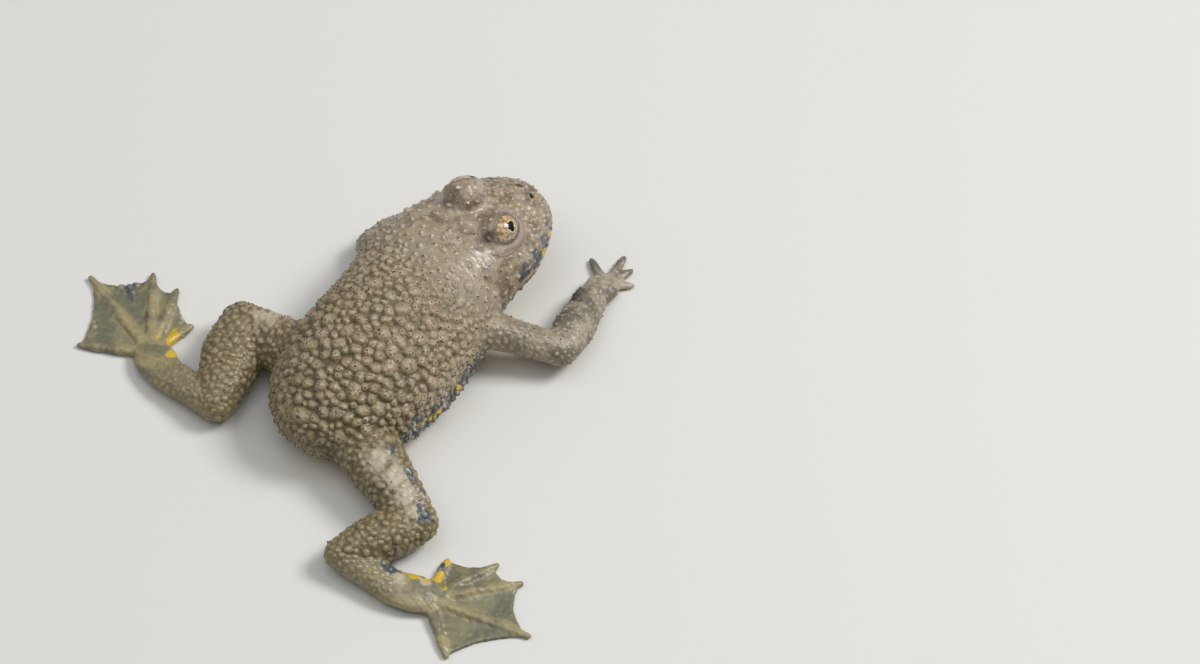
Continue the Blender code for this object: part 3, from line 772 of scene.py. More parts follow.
@dataclass
class EyeSeat:
    """Seat of one eye: the bulge, the lids and the opening.

    Attributes:
        side: 1 on the left, -1 on the right.
        trunk: Body that carries the head's pose.
        axis: Direction in which the eye looks, as on the left side.
        lift: How far the eye stands above its usual place.
        place: Middle of the eyeball, on the left side.
        radius: Radius of the eyeball.
        mound_place: Middle of the bulge.
        mound: Half sizes of the bulge.
        lid_radius: Radius of the lids.
        opening: Half sizes of the opening, along and across its slant.
        slant: Slant of the opening, in degrees.
        setback: How far the opening stands behind the middle.
        sunk: Depth of the skin behind the eyeball's surface.
        rim: Height of the lids' rim above the eyeball, and more on the upper lid.
        reach: How far from the eyeball the skin changes.
        folds: Rise, place and width of the folds of the lower lid, counted in openings.
        skin_fold: The same for the fold that runs round the lids, and how it widens below.
        bare: How far the bare lids reach below.
    """

    side: int
    trunk: TrunkShape
    axis: Place
    lift: float
    place: Place = (3.3, -14.5, 12.2)
    radius: float = 2.35
    mound_place: Place = (3.6, -14.6, 11.5)
    mound: Place = (2.7, 3.05, 2.75)
    lid_radius: float = 2.74
    opening: Pair = (1.95, 1.55)
    slant: float = 30.0
    setback: float = 0.26
    sunk: float = 0.3
    rim: Pair = (0.16, 0.10)
    reach: float = 2.4
    folds: tuple[Place, ...] = ((0.07, 1.42, 0.16), (-0.06, 1.19, 0.035), (-0.05, 1.58, 0.03))
    skin_fold: tuple[float, ...] = (-0.12, 1.68, 0.05, 0.14)
    bare: float = 0.48

    def raised(self, place: Place) -> Array:
        """Return a place of the left side on this side, lifted and posed."""
        return self.trunk.posed(mirrored(place, self.side) + (0.0, 0.0, self.lift))

    @cached_property
    def turn(self) -> Array:
        """Matrix with the directions forward, down and outward of the eye as columns."""
        outward = unit(mirrored(self.axis, self.side))
        forward = np.array((0.0, -1.0, 0.0))
        forward = unit(forward - outward * (forward @ outward))
        down = np.cross(outward, forward) * self.side
        pose = np.array(Matrix.Rotation(-math.radians(self.trunk.head_turn), 3, "Z"))
        return pose @ np.stack([forward, down, outward], 1)

    def ball(self, radius: float, segments: int) -> Patch:
        """Build a ball round the eye's middle, with its poles on the eye's axis.

        Args:
            radius: Its radius.
            segments: Number of sides.

        Returns:
            The closed ball.
        """
        proper = self.turn if np.linalg.det(self.turn) > 0 else self.turn * (1.0, -1.0, 1.0)
        return ellipsoid(self.raised(self.place), (radius,) * 3, proper, segments)

    def patches(self) -> list[Patch]:
        """Bulge and lids, to be joined with the head."""
        bulge = ellipsoid(self.raised(self.mound_place), self.mound, np.eye(3), 48)
        return [bulge, self.ball(self.lid_radius, 48)]

    def carve(self, points: Array) -> tuple[Array, ...]:
        """Open the lids, raise their rim and fold the lower one.

        Args:
            points: Points of the skin.

        Returns:
            The moved points, and the masks of the bare lids, of the fold and of the dark rim, which is
            painted shade between lid and eyeball and partly the lid margin's own dark colour.
        """
        centre = self.raised(self.place)
        offset = points - centre
        forward, down, outward = (offset @ self.turn).T
        away = np.linalg.norm(offset @ self.turn, axis=1)
        front = (outward > 0.0) & (away < self.radius + self.reach)
        flat = np.maximum(np.hypot(forward, down), TINY)
        lower = ease(down / flat, -0.5, 0.6)
        full = ease(0.8 * (down / flat) + 0.6 * (forward / flat), -0.6, 0.5)
        ahead = forward + self.setback
        cos, sin = math.cos(math.radians(self.slant)), math.sin(math.radians(self.slant))
        long_way, short_way = ahead * cos - down * sin, ahead * sin + down * cos
        oval = np.hypot(long_way / self.opening[0], short_way / self.opening[1])
        inside = ease(oval, 0.96, 1.04)
        rim_height = self.radius + self.rim[0] + self.rim[1] * (1.0 - lower)
        target = (self.radius - self.sunk) * (1.0 - inside) + rim_height * inside
        target += 0.05 * bell(oval - 1.12, 0.07)
        wanted = away + (target - away) * fade(oval, 1.08, 1.42)
        fold = full * sum(rise * bell(oval - place, width) for rise, place, width in self.folds)
        rise, place, width, wider = self.skin_fold
        fold += rise * bell(oval - place - wider * full, width) * (0.25 + 0.75 * full)
        fold += 0.04 * ripple(points, 0.55, 5) * bell(oval - 1.50, 0.25)
        wanted = wanted + fold * front
        stretched = centre + offset * (wanted / np.maximum(away, TINY))[:, None]
        bare = fade(oval - self.bare * full, 1.18, 1.38)
        ring = fade(oval - self.bare * full, 1.24, 1.40) * (0.10 + 0.90 * full)
        # Dark rim: painted shade in the crevice between lid and eyeball, stronger below, partly the lid
        # margin's own dark colour; and a thin line of painted shade in the outer fold.
        line = most(fade(oval - 0.04 * full, 1.02, 1.12), 0.40 * bell(oval - 1.82, 0.05) * full)
        dark = most(line * (0.45 + 0.55 * lower), 0.48 * fade(oval, 1.04, 1.28))
        return np.where(front[:, None], stretched, points), bare * front, ring * front, dark * front


@dataclass
class Muzzle:
    """Mouth line, lips and nostrils.

    Attributes:
        trunk: Body that carries the head.
        corner: Place along the body of the mouth's corner.
        heights: Height of the mouth line at the tip, the middle and the corner.
        tip_gap: Distance of the mouth line's tip from the snout's.
        groove: Depth and width of the mouth line.
        lips: Rise, distance and width of the upper and the lower lip.
        nostril_place: Place of the left nostril, sideways and along.
        nostril_out: Direction in which it opens.
        nostril_slit: Direction of its length.
        nostril_size: Its half width, and its length in widths.
        nostril_depth: Its depth.
        nostril_rim: Rise, distance and width of its rim.
    """

    trunk: TrunkShape
    corner: float = -13.9
    heights: Place = (7.5, 7.7, 6.3)
    tip_gap: float = 0.25
    groove: Pair = (0.34, 0.17)
    lips: tuple[Place, Place] = ((0.20, 0.52, 0.26), (0.10, 0.45, 0.25))
    nostril_place: Pair = (0.85, -21.4)
    nostril_out: Place = (0.5, -0.45, 0.7)
    nostril_slit: Place = (-0.63, -0.78, 0.0)
    nostril_size: Pair = (0.23, 1.8)
    nostril_depth: float = 0.60
    nostril_rim: Place = (0.11, 1.75, 0.6)

    def mouth_line(self, side: int) -> Array:
        """Find the mouth line of one side.

        Args:
            side: 1 on the left, -1 on the right.

        Returns:
            Points from the snout's tip to the mouth's corner.
        """
        tip = self.trunk.stations[-1][0] + self.tip_gap
        at_tip, at_middle, at_corner = self.heights
        line = []
        for share in np.linspace(0.0, 1.0, 15):
            along = tip + (self.corner - tip) * share**1.6
            rise, fall = ease(share, 0.0, 0.4), ease(share, 0.4, 1.0)
            height = at_tip + (at_middle - at_tip) * rise + (at_corner - at_middle) * fall
            line.append((side * self.trunk.side_at(along, height), along, height))
        return self.trunk.posed(line)

    @staticmethod
    def distance_to(points: Array, line: Array) -> tuple[Array, Array]:
        """Measure how far points are from a line.

        Args:
            points: Points of the skin.
            line: Points of the line, in order.

        Returns:
            Distances from the line, and heights above it.
        """
        best = np.full(len(points), np.inf)
        above = np.zeros(len(points))
        for start, end in zip(line[:-1], line[1:]):
            step = end - start
            share = np.clip((points - start) @ step / (step @ step), 0.0, 1.0)
            offset = points - (start + share[:, None] * step)
            distance = np.linalg.norm(offset, axis=1)
            above = np.where(distance < best, offset[:, 2], above)
            best = np.minimum(distance, best)
        return best, above

    def carve(self, points: Array, normals: Array) -> tuple[Array, Array]:
        """Cut the mouth and nostrils and raise the lips.

        Args:
            points: Points of the skin.
            normals: Their normals.

        Returns:
            The moved points and the mask of painted shade in the mouth line and the nostrils.
        """
        line = np.concatenate([self.mouth_line(1)[::-1], self.mouth_line(-1)[1:]])
        distance, above = self.distance_to(points, line)
        depth, width = self.groove
        lift = -depth * bell(distance, width)
        for (rise, place, spread), where in zip(self.lips, (above > 0.0, above <= 0.0)):
            lift += rise * bell(distance - place, spread) * where
        # Painted shade along the mouth line.
        dark = bell(distance, width * 0.9)
        sideways, along = self.nostril_place
        top = float(self.trunk.sizes_at(along)[2]) - 0.5
        half, longer = self.nostril_size
        rise, place, spread = self.nostril_rim
        for side in SIDES.values():
            offset = points - self.trunk.posed((sideways * side, along, top))
            outward = unit(mirrored(self.nostril_out, side))
            slit = mirrored(self.nostril_slit, side)
            slit = unit(slit - outward * (slit @ outward))
            near = np.abs(offset @ outward) < 1.2
            ring = np.hypot(offset @ slit / longer, offset @ np.cross(outward, slit)) / half
            lift -= self.nostril_depth * (fade(ring, 0.55, 1.25) * near)
            lift += rise * bell(ring - place, spread) * near
            # Painted shade in the nostril's pit.
            dark = most(dark, fade(ring, 0.95, 1.30) * near)
        return points + normals * lift[:, None], dark


@dataclass
class Ground:
    """The smooth skin that the warts rise from.

    Attributes:
        points: Its points.
        normals: Their normals.
        plain: The points with the pose undone.
        shares: How much each zone holds each point, all adding to 1.
        bare: Mask of the skin without warts.
        fold: Mask of the fold under the eye.
        dark: Mask of painted shade in the mouth line, the nostrils and the rims of the lids, where the rims
            also have a dark margin of their own.
    """

    points: Array
    normals: Array
    plain: Array
    shares: dict[Zone, Array]
    bare: Array
    fold: Array
    dark: Array

    @cached_property
    def graded(self) -> Array:
        """Size of the trunk's warts against the middle of the back, from neck to rump and flank."""
        along = np.interp(self.plain[:, 1], BACK_PLACES, BACK_SIZES)
        return along * (0.78 + 0.22 * ease(self.plain[:, 2], 5.0, 10.0))

    @cached_property
    def neck(self) -> Array:
        """Share of the neck, where the warts are paler and a little lower."""
        return fade(self.plain[:, 1], -9.0, -1.0)

    @cached_property
    def sparse(self) -> Array:
        """Share of the nape and the top of the head, where the warts stand apart."""
        nape = fade(self.plain[:, 1], -7.5, -0.5) * ease(self.plain[:, 1], -17.0, -13.0)
        return nape * (self.shares[Zone.TORSO] + self.shares[Zone.HEAD])

    def growth(self, name: str) -> Array:
        """Value of the warts' growth at each point, mixed from its zones."""
        return sum(share * getattr(GROWTH[zone], name) for zone, share in self.shares.items())

    def mark(self, kind: Mark) -> Array:
        """Find one kind of marking.

        Args:
            kind: The marking.

        Returns:
            Its strength at each point of the smooth skin, from 0 to 1.
        """
        return mark_mask(self.points, kind)


def mark_mask(points: Array, kind: Mark) -> Array:
    """Strength of one kind of marking at each point.

    Args:
        points: Points of the skin.
        kind: The marking.

    Returns:
        Numbers from 0 to 1.
    """
    wander = 1.0 + 0.34 * ripple(points, 0.9, 7) + 0.16 * ripple(points, 0.4, 8)
    wander = np.maximum(wander, 0.45)
    edge = SOFT_EDGE if kind in SOFT_MARKS else HARD_EDGE
    total = np.zeros(len(points))
    for *place, reach in MARKS[kind]:
        away = np.linalg.norm(points - np.array(place), axis=1) / reach
        total = most(total, fade(away * wander, *edge))
    return total


@dataclass
class WartField:
    """Middles, directions, sizes and looks of all the warts."""

    places: Array
    normals: Array
    radii: Array
    heights: Array
    horns: Array
    pale_tips_and_highlights: Array
    tints: Array
    tangents: Array
    stretch: Array
    leans: Array


@dataclass
class Skin:
    """The one skin over the whole body.

    Attributes:
        trunk: Trunk and head.
        limbs: Both arms and both legs.
        eyes: Seats of both eyes.
        muzzle: Mouth and nostrils.
        voxel: Step of the remesh; its second number, for a quick one, is not used.
        rounds: Rounds of smoothing, in all and over the whole skin; the third number, for quick ones, is not
            used.
        blend: How far two zones run into each other.
        seed: Seed of the warts.
        tries: How many warts are tried.
        apart: How much wider the warts stand on the nape.
        cell: Side of a cell of the search grid.
        lie: Direction in which most warts are drawn out.
        lean: Slope of the warts towards the rump, on the limbs and more on the trunk.
        lean_way: Direction of that slope.
        pebbles: Step, radius and height of the fine pebbles.
    """

    trunk: TrunkShape
    limbs: list[Limb]
    eyes: list[EyeSeat]
    muzzle: Muzzle
    voxel: Pair = (0.22, 0.4)
    rounds: tuple[int, int, int] = (40, 5, 14)
    smoothing: float = 0.55
    blend: float = 0.12
    seed: int = 41
    tries: int = 90000
    apart: float = 1.9
    cell: float = 3.2
    lie: Place = (-0.78, -0.63, 0.0)
    lean: Pair = (0.20, 0.50)
    lean_way: Place = (0.25, 0.95, -0.18)
    pebbles: Place = (0.40, 0.25, 0.085)
    mesh: bpy.types.Mesh = field(init=False)
    warts: WartField = field(init=False)

    def relax(self, mesh: bpy.types.Mesh) -> None:
        """Smooth the steps of the remesh, and the joints more.

        Args:
            mesh: The remeshed body, which is changed.
        """
        points = rows_of(mesh.vertices, "co")
        one, two = rows_of(mesh.edges, "vertices", 2, np.int32).T
        count = np.maximum(np.bincount(np.concatenate([one, two]), minlength=len(points)), 1)[:, None]
        strength = np.zeros(len(points))
        for limb in self.limbs:
            for place, reach in zip(limb.joints, limb.reaches):
                far = np.linalg.norm(points - np.array(place), axis=1)
                strength = most(strength, bell(far, reach))
        for eye in self.eyes:
            far = np.linalg.norm(points - eye.raised(eye.mound_place), axis=1)
            strength = most(strength, 0.8 * bell(far - 2.9, 0.9))
        most_rounds, whole, quick = self.rounds
        for step in range(most_rounds):
            total = np.empty_like(points)
            for column in range(3):
                values = points[:, column]
                total[:, column] = np.bincount(one, values[two], len(points))
                total[:, column] += np.bincount(two, values[one], len(points))
            share = self.smoothing if step < whole else self.smoothing * strength[:, None]
            points = points + (total / count - points) * share
        set_points(mesh, points)

    def base_mesh(self) -> bpy.types.Mesh:
        """Join the plain bodies, remesh them to one even surface, smooth it and make it finer.

        Returns:
            The mesh of the plain skin, in millimetres.
        """
        patches = [self.trunk.patch()]
        for limb in self.limbs:
            patches += [part.patch() for part in limb.parts] + limb.web()
        for eye in self.eyes:
            patches += eye.patches()
        step = self.voxel[0]
        mesh = applied(new_mesh("skin", join(patches), 1.0), "REMESH", mode="VOXEL", voxel_size=step)
        self.relax(mesh)
        return applied(mesh, "SUBSURF", levels=1)

    def zone_shares(self, points: Array, plain: Array) -> dict[Zone, Array]:
        """How much each zone holds each point, all adding to 1.

        Args:
            points: Points of the skin.
            plain: The same points with the pose undone.

        Returns:
            One array of shares for each zone.
        """
        near = {zone: np.full(len(points), 9.0) for zone in Zone}
        for limb in self.limbs:
            for part in limb.parts:
                near[part.zone] = np.minimum(near[part.zone], part.nearness(points))
        trunk = self.trunk.nearness(plain)
        least = np.minimum.reduce([trunk, *near.values()])
        shares = {zone: np.exp(-(values - least) / self.blend) for zone, values in near.items()}
        body = np.exp(-(trunk - least) / self.blend)
        head = fade(plain[:, 1], self.trunk.neck - 1.5, self.trunk.neck + 4.5)
        shares[Zone.TORSO], shares[Zone.HEAD] = body * (1.0 - head), body * head
        total = sum(shares.values())
        return {zone: values / total for zone, values in shares.items()}

    def ground_of(self, mesh: bpy.types.Mesh) -> Ground:
        """Carve the lids, the mouth and the nostrils, and tell the zones apart.

        Args:
            mesh: Mesh of the plain skin, which is changed.

        Returns:
            The smooth skin.
        """
        points = rows_of(mesh.vertices, "co")
        LOG.info("skin: %d points", len(points))
        bare, fold, dark = np.zeros((3, len(points)))
        for eye in self.eyes:
            points, lids, ring, lid_rim_shade = eye.carve(points)
            bare, fold, dark = most(bare, lids), most(fold, ring), most(dark, lid_rim_shade)
        set_points(mesh, points)
        normals = rows_of(mesh.vertex_normals, "vector")
        points, slit_shade = self.muzzle.carve(points, normals)
        plain = self.trunk.unposed(points)
        shares = self.zone_shares(points, plain)
        return Ground(points, normals, plain, shares, bare, fold, most(dark, slit_shade))

    @staticmethod
    def crowded(grid: Grid, home: tuple[int, ...], place: list[float], room: float) -> bool:
        """Tell whether a wart would stand too near another.

        Args:
            grid: Warts so far, by cell.
            home: Cell of the new wart.
            place: Its middle.
            room: Half of the room that it wants.

        Returns:
            True where it has no room.
        """
        around = itertools.product(*((step - 1, step, step + 1) for step in home))
        others = itertools.chain.from_iterable(grid.get(cell, ()) for cell in around)
        return any(math.dist(place, other) < room + taken for other, taken in others)

    def scatter(self, ground: Ground) -> WartField:
        """Place warts at random, the large ones first, so that small ones fill the gaps.

        Args:
            ground: The smooth skin.

        Returns:
            All the warts.
        """
        rng = np.random.default_rng(self.seed)
        points, trunk, sparse = ground.points, ground.shares[Zone.TORSO], ground.sparse
        grading = 1.0 - trunk * (1.0 - ground.graded)
        radius = ground.growth("radius") * grading
        spacing = ground.growth("spacing") + self.apart * sparse
        # Paleness of the wart tips, raised on the neck and nape, partly a painted highlight.
        pale = ground.growth("pale") + 0.65 * trunk * ground.neck + 0.35 * sparse
        under = ease(-ground.normals[:, 2], 0.15, 0.75)
        height = ground.growth("height") * grading * (1.0 - 0.85 * under)
        height = height * (1.0 - 0.20 * trunk * ground.neck) * (1.0 + 0.55 * sparse)
        picks = rng.integers(0, len(points), self.tries)
        turns = np.sqrt(np.linspace(0.0, 1.0, self.tries))
        factors = 0.66 + 0.80 * np.exp(-13.0 * turns) + 0.26 * np.exp(-2.0 * turns)
        factors = factors * rng.uniform(0.88, 1.12, self.tries)
        powers = 0.60 + 0.40 * trunk + 0.25 * ground.shares[Zone.HEAD]
        sizes = radius[picks] * factors ** powers[picks]
        rooms = sizes * spacing[picks] * 0.5
        open_skin = (ground.bare[picks] <= 0.4) & (points[picks, 2] >= 0.25)
        grid: Grid = {}
        kept = []
        for number in np.flatnonzero(open_skin).tolist():
            place, room = points[picks[number]].tolist(), float(rooms[number])
            home = tuple(int(value // self.cell) for value in place)
            if not self.crowded(grid, home, place, room):
                grid.setdefault(home, []).append((place, room))
                kept.append(number)
        index, sizes = picks[kept], sizes[kept]
        count = len(index)
        wild = rng.normal(size=(count, 3)) * 0.7 + np.array(self.lie)
        around = ground.normals[index]
        steeper = 1.15 - 0.55 * trunk[index]
        return WartField(
            places=points[index],
            normals=around,
            radii=sizes,
            heights=height[index] * (sizes / radius[index]) ** steeper * rng.uniform(0.8, 1.15, count),
            horns=ground.growth("horns")[index],
            pale_tips_and_highlights=pale[index] * rng.uniform(0.15, 1.0, count),
            tints=rng.random(count),
            tangents=unit(wild - around * np.sum(wild * around, axis=1, keepdims=True)),
            stretch=rng.uniform(0.05, 0.55, count),
            leans=self.lean[0] + self.lean[1] * trunk[index],
        )

    def pebbled(self, points: Array) -> Array:
        """Fine pebbles, one at random in each cell of a grid.

        Args:
            points: Points of the skin.

        Returns:
            Their rise at each point, from 0 to 1.
        """
        step, radius, _ = self.pebbles
        order = np.random.default_rng(self.seed + 2).permutation(len(points))
        cells = np.floor(points[order] / step).astype(np.int64)
        _, first = np.unique(cells, axis=0, return_index=True)
        tree = search_tree(points[order[first]])
        away = np.array([tree.find(place)[2] for place in points.tolist()]) / radius
        return np.clip(1.0 - away**2, 0.0, 1.0)

    def swell(self, ground: Ground) -> tuple[Array, ...]:
        """Rise of the warts at each point, and the masks that colour them.

        Args:
            ground: The smooth skin.

        Returns:
            Rise in millimetres, crown, crease for painted shade, tint, and paleness that is partly a painted
            highlight.
        """
        points, shares, warts = ground.points, ground.shares, self.warts
        legs = shares[Zone.THIGH] + shares[Zone.SHANK]
        pebbly = shares[Zone.TORSO] * ground.graded + 0.6 * legs + 0.25 * shares[Zone.HEAD]
        waves, curls = (
            np.stack([ripple(points, size, self.seed + start + step) for step in range(3)], 1)
            for size, start in ((1.3, 0), (0.5, 10))
        )
        warped = points + 0.11 * waves + 0.035 * curls
        tree = search_tree(warts.places)
        nearest = np.array([[hit[1] for hit in tree.find_n(place, 7)] for place in warped.tolist()])
        offset = warped[:, None, :] - warts.places[nearest]
        along = np.sum(offset * warts.tangents[nearest], axis=2)
        square = np.sum(offset * offset, axis=2) - warts.stretch[nearest] * along**2
        away = np.sqrt(np.maximum(square, 0.0)) / warts.radii[nearest]
        domes = np.clip(1.0 - away**2.2, 0.0, 1.0) ** 0.90 + 0.06 * bell(away, 0.30)
        behind = offset @ np.array(self.lean_way) / warts.radii[nearest]
        domes *= 1.0 + warts.leans[nearest] * np.clip(behind, -0.9, 0.9)
        lifts = warts.heights[nearest] * domes
        rows = np.arange(len(points))
        highest, second = np.argsort(-lifts, axis=1)[:, :2].T
        first = nearest[rows, highest]
        one, two = lifts[rows, highest], lifts[rows, second]
        tall = np.maximum(warts.heights[first], 0.02)
        crown = np.clip(one / tall, 0.0, 1.0)
        gap = (one - two) / tall
        # Crease where two warts meet; the skin's colour darkens it as painted shade.
        crease = fade(gap, 0.0, 0.30) * fade(crown, 0.35, 0.85) * ease(tall, 0.10, 0.28)
        rise = one - 0.10 * tall * fade(gap, 0.0, 0.10) * ease(tall, 0.12, 0.3)
        coarse = 0.45 + 0.55 * ease(warts.radii[first], 0.45, 0.80)
        rise += self.pebbles[2] * pebbly * coarse * self.pebbled(warped)
        return rise, crown, crease, warts.tints[first], warts.pale_tips_and_highlights[first] * bell(away[rows, highest], 0.55)

    def toes_away(self, points: Array) -> Array:
        """Distance from the lines of the toes and soles, 1 at their surface."""
        feet = [part for limb in self.limbs for part in limb.parts if part.zone is Zone.FOOT]
        return np.minimum.reduce([part.nearness(points) for part in feet])

    def ground_masks(self, ground: Ground, points: Array) -> dict[str, Array]:
        """Masks of the skin's ground colours.

        Args:
            ground: The smooth skin.
            points: The points with their warts.

        Returns:
            The masks by name.
        """
        torso, head, upper_arm, forearm, hand, _, shank, tarsus, foot = ground.shares.values()
        plain_y, plain_z = ground.plain[:, 1:].T
        limbs = 1.0 - (torso + head)
        wander = ripple(points, 2.4, 11)
        rump = 3.2 * ease(plain_y, 10.0, 17.0)
        low = fade(plain_z + 0.8 * wander + rump, 4.4, 7.4)
        jaw = fade(plain_z + 0.25 * wander, 6.1, 7.3) * head
        turned = ease(-ground.normals[:, 2] - 0.3 * limbs, 0.0, 0.6)
        # Painted light that brightens the shoulders, and a pale band along the flank that is partly a
        # painted highlight.
        painted_shoulder_light = 0.32 * bell(plain_y + 4.5, 5.5) * torso
        side = 0.40 * bell(plain_z - 7.4, 1.6) * (torso * fade(plain_y, 6.0, 12.0))
        # Dark: the nuptial pads and the smudge behind the eye, with painted shade in the mouth line, the
        # nostrils and the lid rims.
        dark = most(ground.dark, 0.85 * ground.mark(Mark.PAD), 0.62 * ground.mark(Mark.SMUDGE))
        wet = 0.35 + 0.65 * np.clip(head + 0.3 * limbs, 0.0, 1.0)
        return {
            "belly": np.clip(most(turned, jaw * 0.55) * (1.0 - 0.35 * limbs), 0.0, 1.0),
            "flank": most(np.clip(most(low * torso, jaw), 0.0, 1.0), mark_mask(points, Mark.SLATE)),
            "yellow": mark_mask(points, Mark.YELLOW),
            "pale": most(ground.mark(Mark.PALE), painted_shoulder_light, side),
            "fold": ground.fold,
            "dark": dark,
            "foot": foot + 0.5 * tarsus,
            "web": foot * ease(self.toes_away(points), 1.05, 1.75),
            "arm": 0.6 * upper_arm + forearm + hand,
            "head": head + torso * ground.neck,
            "wet": wet * (1.0 - 0.8 * np.clip(dark, 0.0, 1.0)),
            "rear": most(ease(plain_y, 4.0, 18.0), shank + 0.7 * tarsus),
        }

    def build(self) -> bpy.types.Object:
        """Build the skin with its relief and its masks.

        Returns:
            The skin.
        """
        self.mesh = self.base_mesh()
        ground = self.ground_of(self.mesh)
        self.warts = self.scatter(ground)
        LOG.info("skin: %d warts", len(self.warts.places))
        rise, crown, crease, tint, pale = self.swell(ground)
        quiet = (1.0 - ground.bare) * (1.0 - np.clip(ground.dark * 1.5, 0.0, 1.0))
        rise = rise * quiet * (1.0 - 0.5 * ground.mark(Mark.PALE))
        rise += 0.022 * ripple(ground.points, 0.42, 3) * quiet + 0.35 * ground.mark(Mark.PAD)
        points = ground.points + ground.normals * rise[:, None]
        points[:, 2] = np.maximum(points[:, 2], 0.0)
        set_points(self.mesh, points * TO_METRES)
        # The crease mask carries painted shade; the pale tips are partly a painted highlight.
        warty = {"crown": crown, "crease": crease * (1.0 - 0.85 * ground.sparse), "pale_tip_and_highlight": pale}
        masks = {name: values * quiet for name, values in warty.items()} | {"tint": tint}
        for name, values in (masks | self.ground_masks(ground, points)).items():
            add_mask(self.mesh, name, values)
        self.mesh.shade_smooth()
        return place_object("toad_skin", self.mesh)


@dataclass
class HornTips:
    """Dark horny points on the warts, joined in one piece.

    Attributes:
        skin: Skin that they stand on.
        width: Half width of a point.
        height: Height of a point.
        sides: Number of sides.
        rows: Height and width of each ring of a point, as shares.
        root: Depth of its root in the skin.
        trend: How far the points stand off the middle of a wart, in radii.
        least: Least height of a wart with points, and least height above the floor.
        more: Radii above which a wart has a second point, and further ones.
        spread: Spread of one point, and of several, in radii.
    """

    skin: Skin
    width: float = 0.095
    height: float = 0.12
    sides: int = 6
    rows: tuple[Pair, ...] = ((-0.04, 1.05), (0.35, 0.85), (0.8, 0.45))
    root: float = 0.05
    trend: Place = (0.14, 0.26, 0.0)
    least: Pair = (0.05, 0.9)
    more: Pair = (0.35, 0.50)
    spread: Pair = (0.12, 0.34)

    def cone(self, place: Array, normal: Array, size: float) -> Patch:
        """Build one blunt cone, its root in the skin.

        Args:
            place: Point of the skin.
            normal: Direction out of the skin.
            size: Its size against the usual one.

        Returns:
            The closed cone.
        """
        side = unit(np.cross(normal, (0.3, 0.5, 0.81)))
        cos, sin = (wave[:, None] for wave in circle(self.sides))
        around = side * cos + np.cross(normal, side) * sin
        high, wide = normal * self.height * size, around * self.width * size
        rings = [place + high * rise + wide * share for rise, share in self.rows]
        return loft(rings, place - normal * self.root, place + high)

    def build(self) -> bpy.types.Object:
        """Set one to three small cones on each wart that carries them.

        Returns:
            The piece.
        """
        rng = np.random.default_rng(self.skin.seed + 1)
        points = rows_of(self.skin.mesh.vertices, "co") / TO_METRES
        normals = rows_of(self.skin.mesh.vertex_normals, "vector")
        tree = search_tree(points)
        warts = self.skin.warts
        cones = []
        for place, normal, radius, height, horns in zip(
            warts.places, warts.normals, warts.radii, warts.heights, warts.horns
        ):
            if rng.random() > horns or height < self.least[0] or place[2] < self.least[1]:
                continue
            count = 1 + int(rng.random() < radius - self.more[0])
            count += int(rng.poisson(max(radius - self.more[1], 0.0) * 8.0))
            for _ in range(count):
                slip = rng.normal(size=3) * radius * self.spread[count > 1]
                slip = slip + np.array(self.trend) * radius
                _, found, _ = tree.find((place + slip + normal * height).tolist())
                cones.append(self.cone(points[found], normals[found], rng.uniform(0.75, 1.2)))
        LOG.info("horn tips: %d", len(cones))
        return place_object("horn_tips", new_mesh("horn_tips", join(cones)))


@dataclass
class ToadEye:
    """Eyeball of one side."""

    seat: EyeSeat
    name: str
    segments: int = 96

    def build(self) -> bpy.types.Object:
        """Build the eyeball, with each point's direction in the eye's own frame.

        Returns:
            The eyeball.
        """
        ball = self.seat.ball(self.seat.radius, self.segments)
        mesh = new_mesh(self.name, ball)
        offset = ball.points - self.seat.raised(self.seat.place)
        add_mask(mesh, "gaze", offset @ self.seat.turn / self.seat.radius)
        return place_object(self.name, mesh)


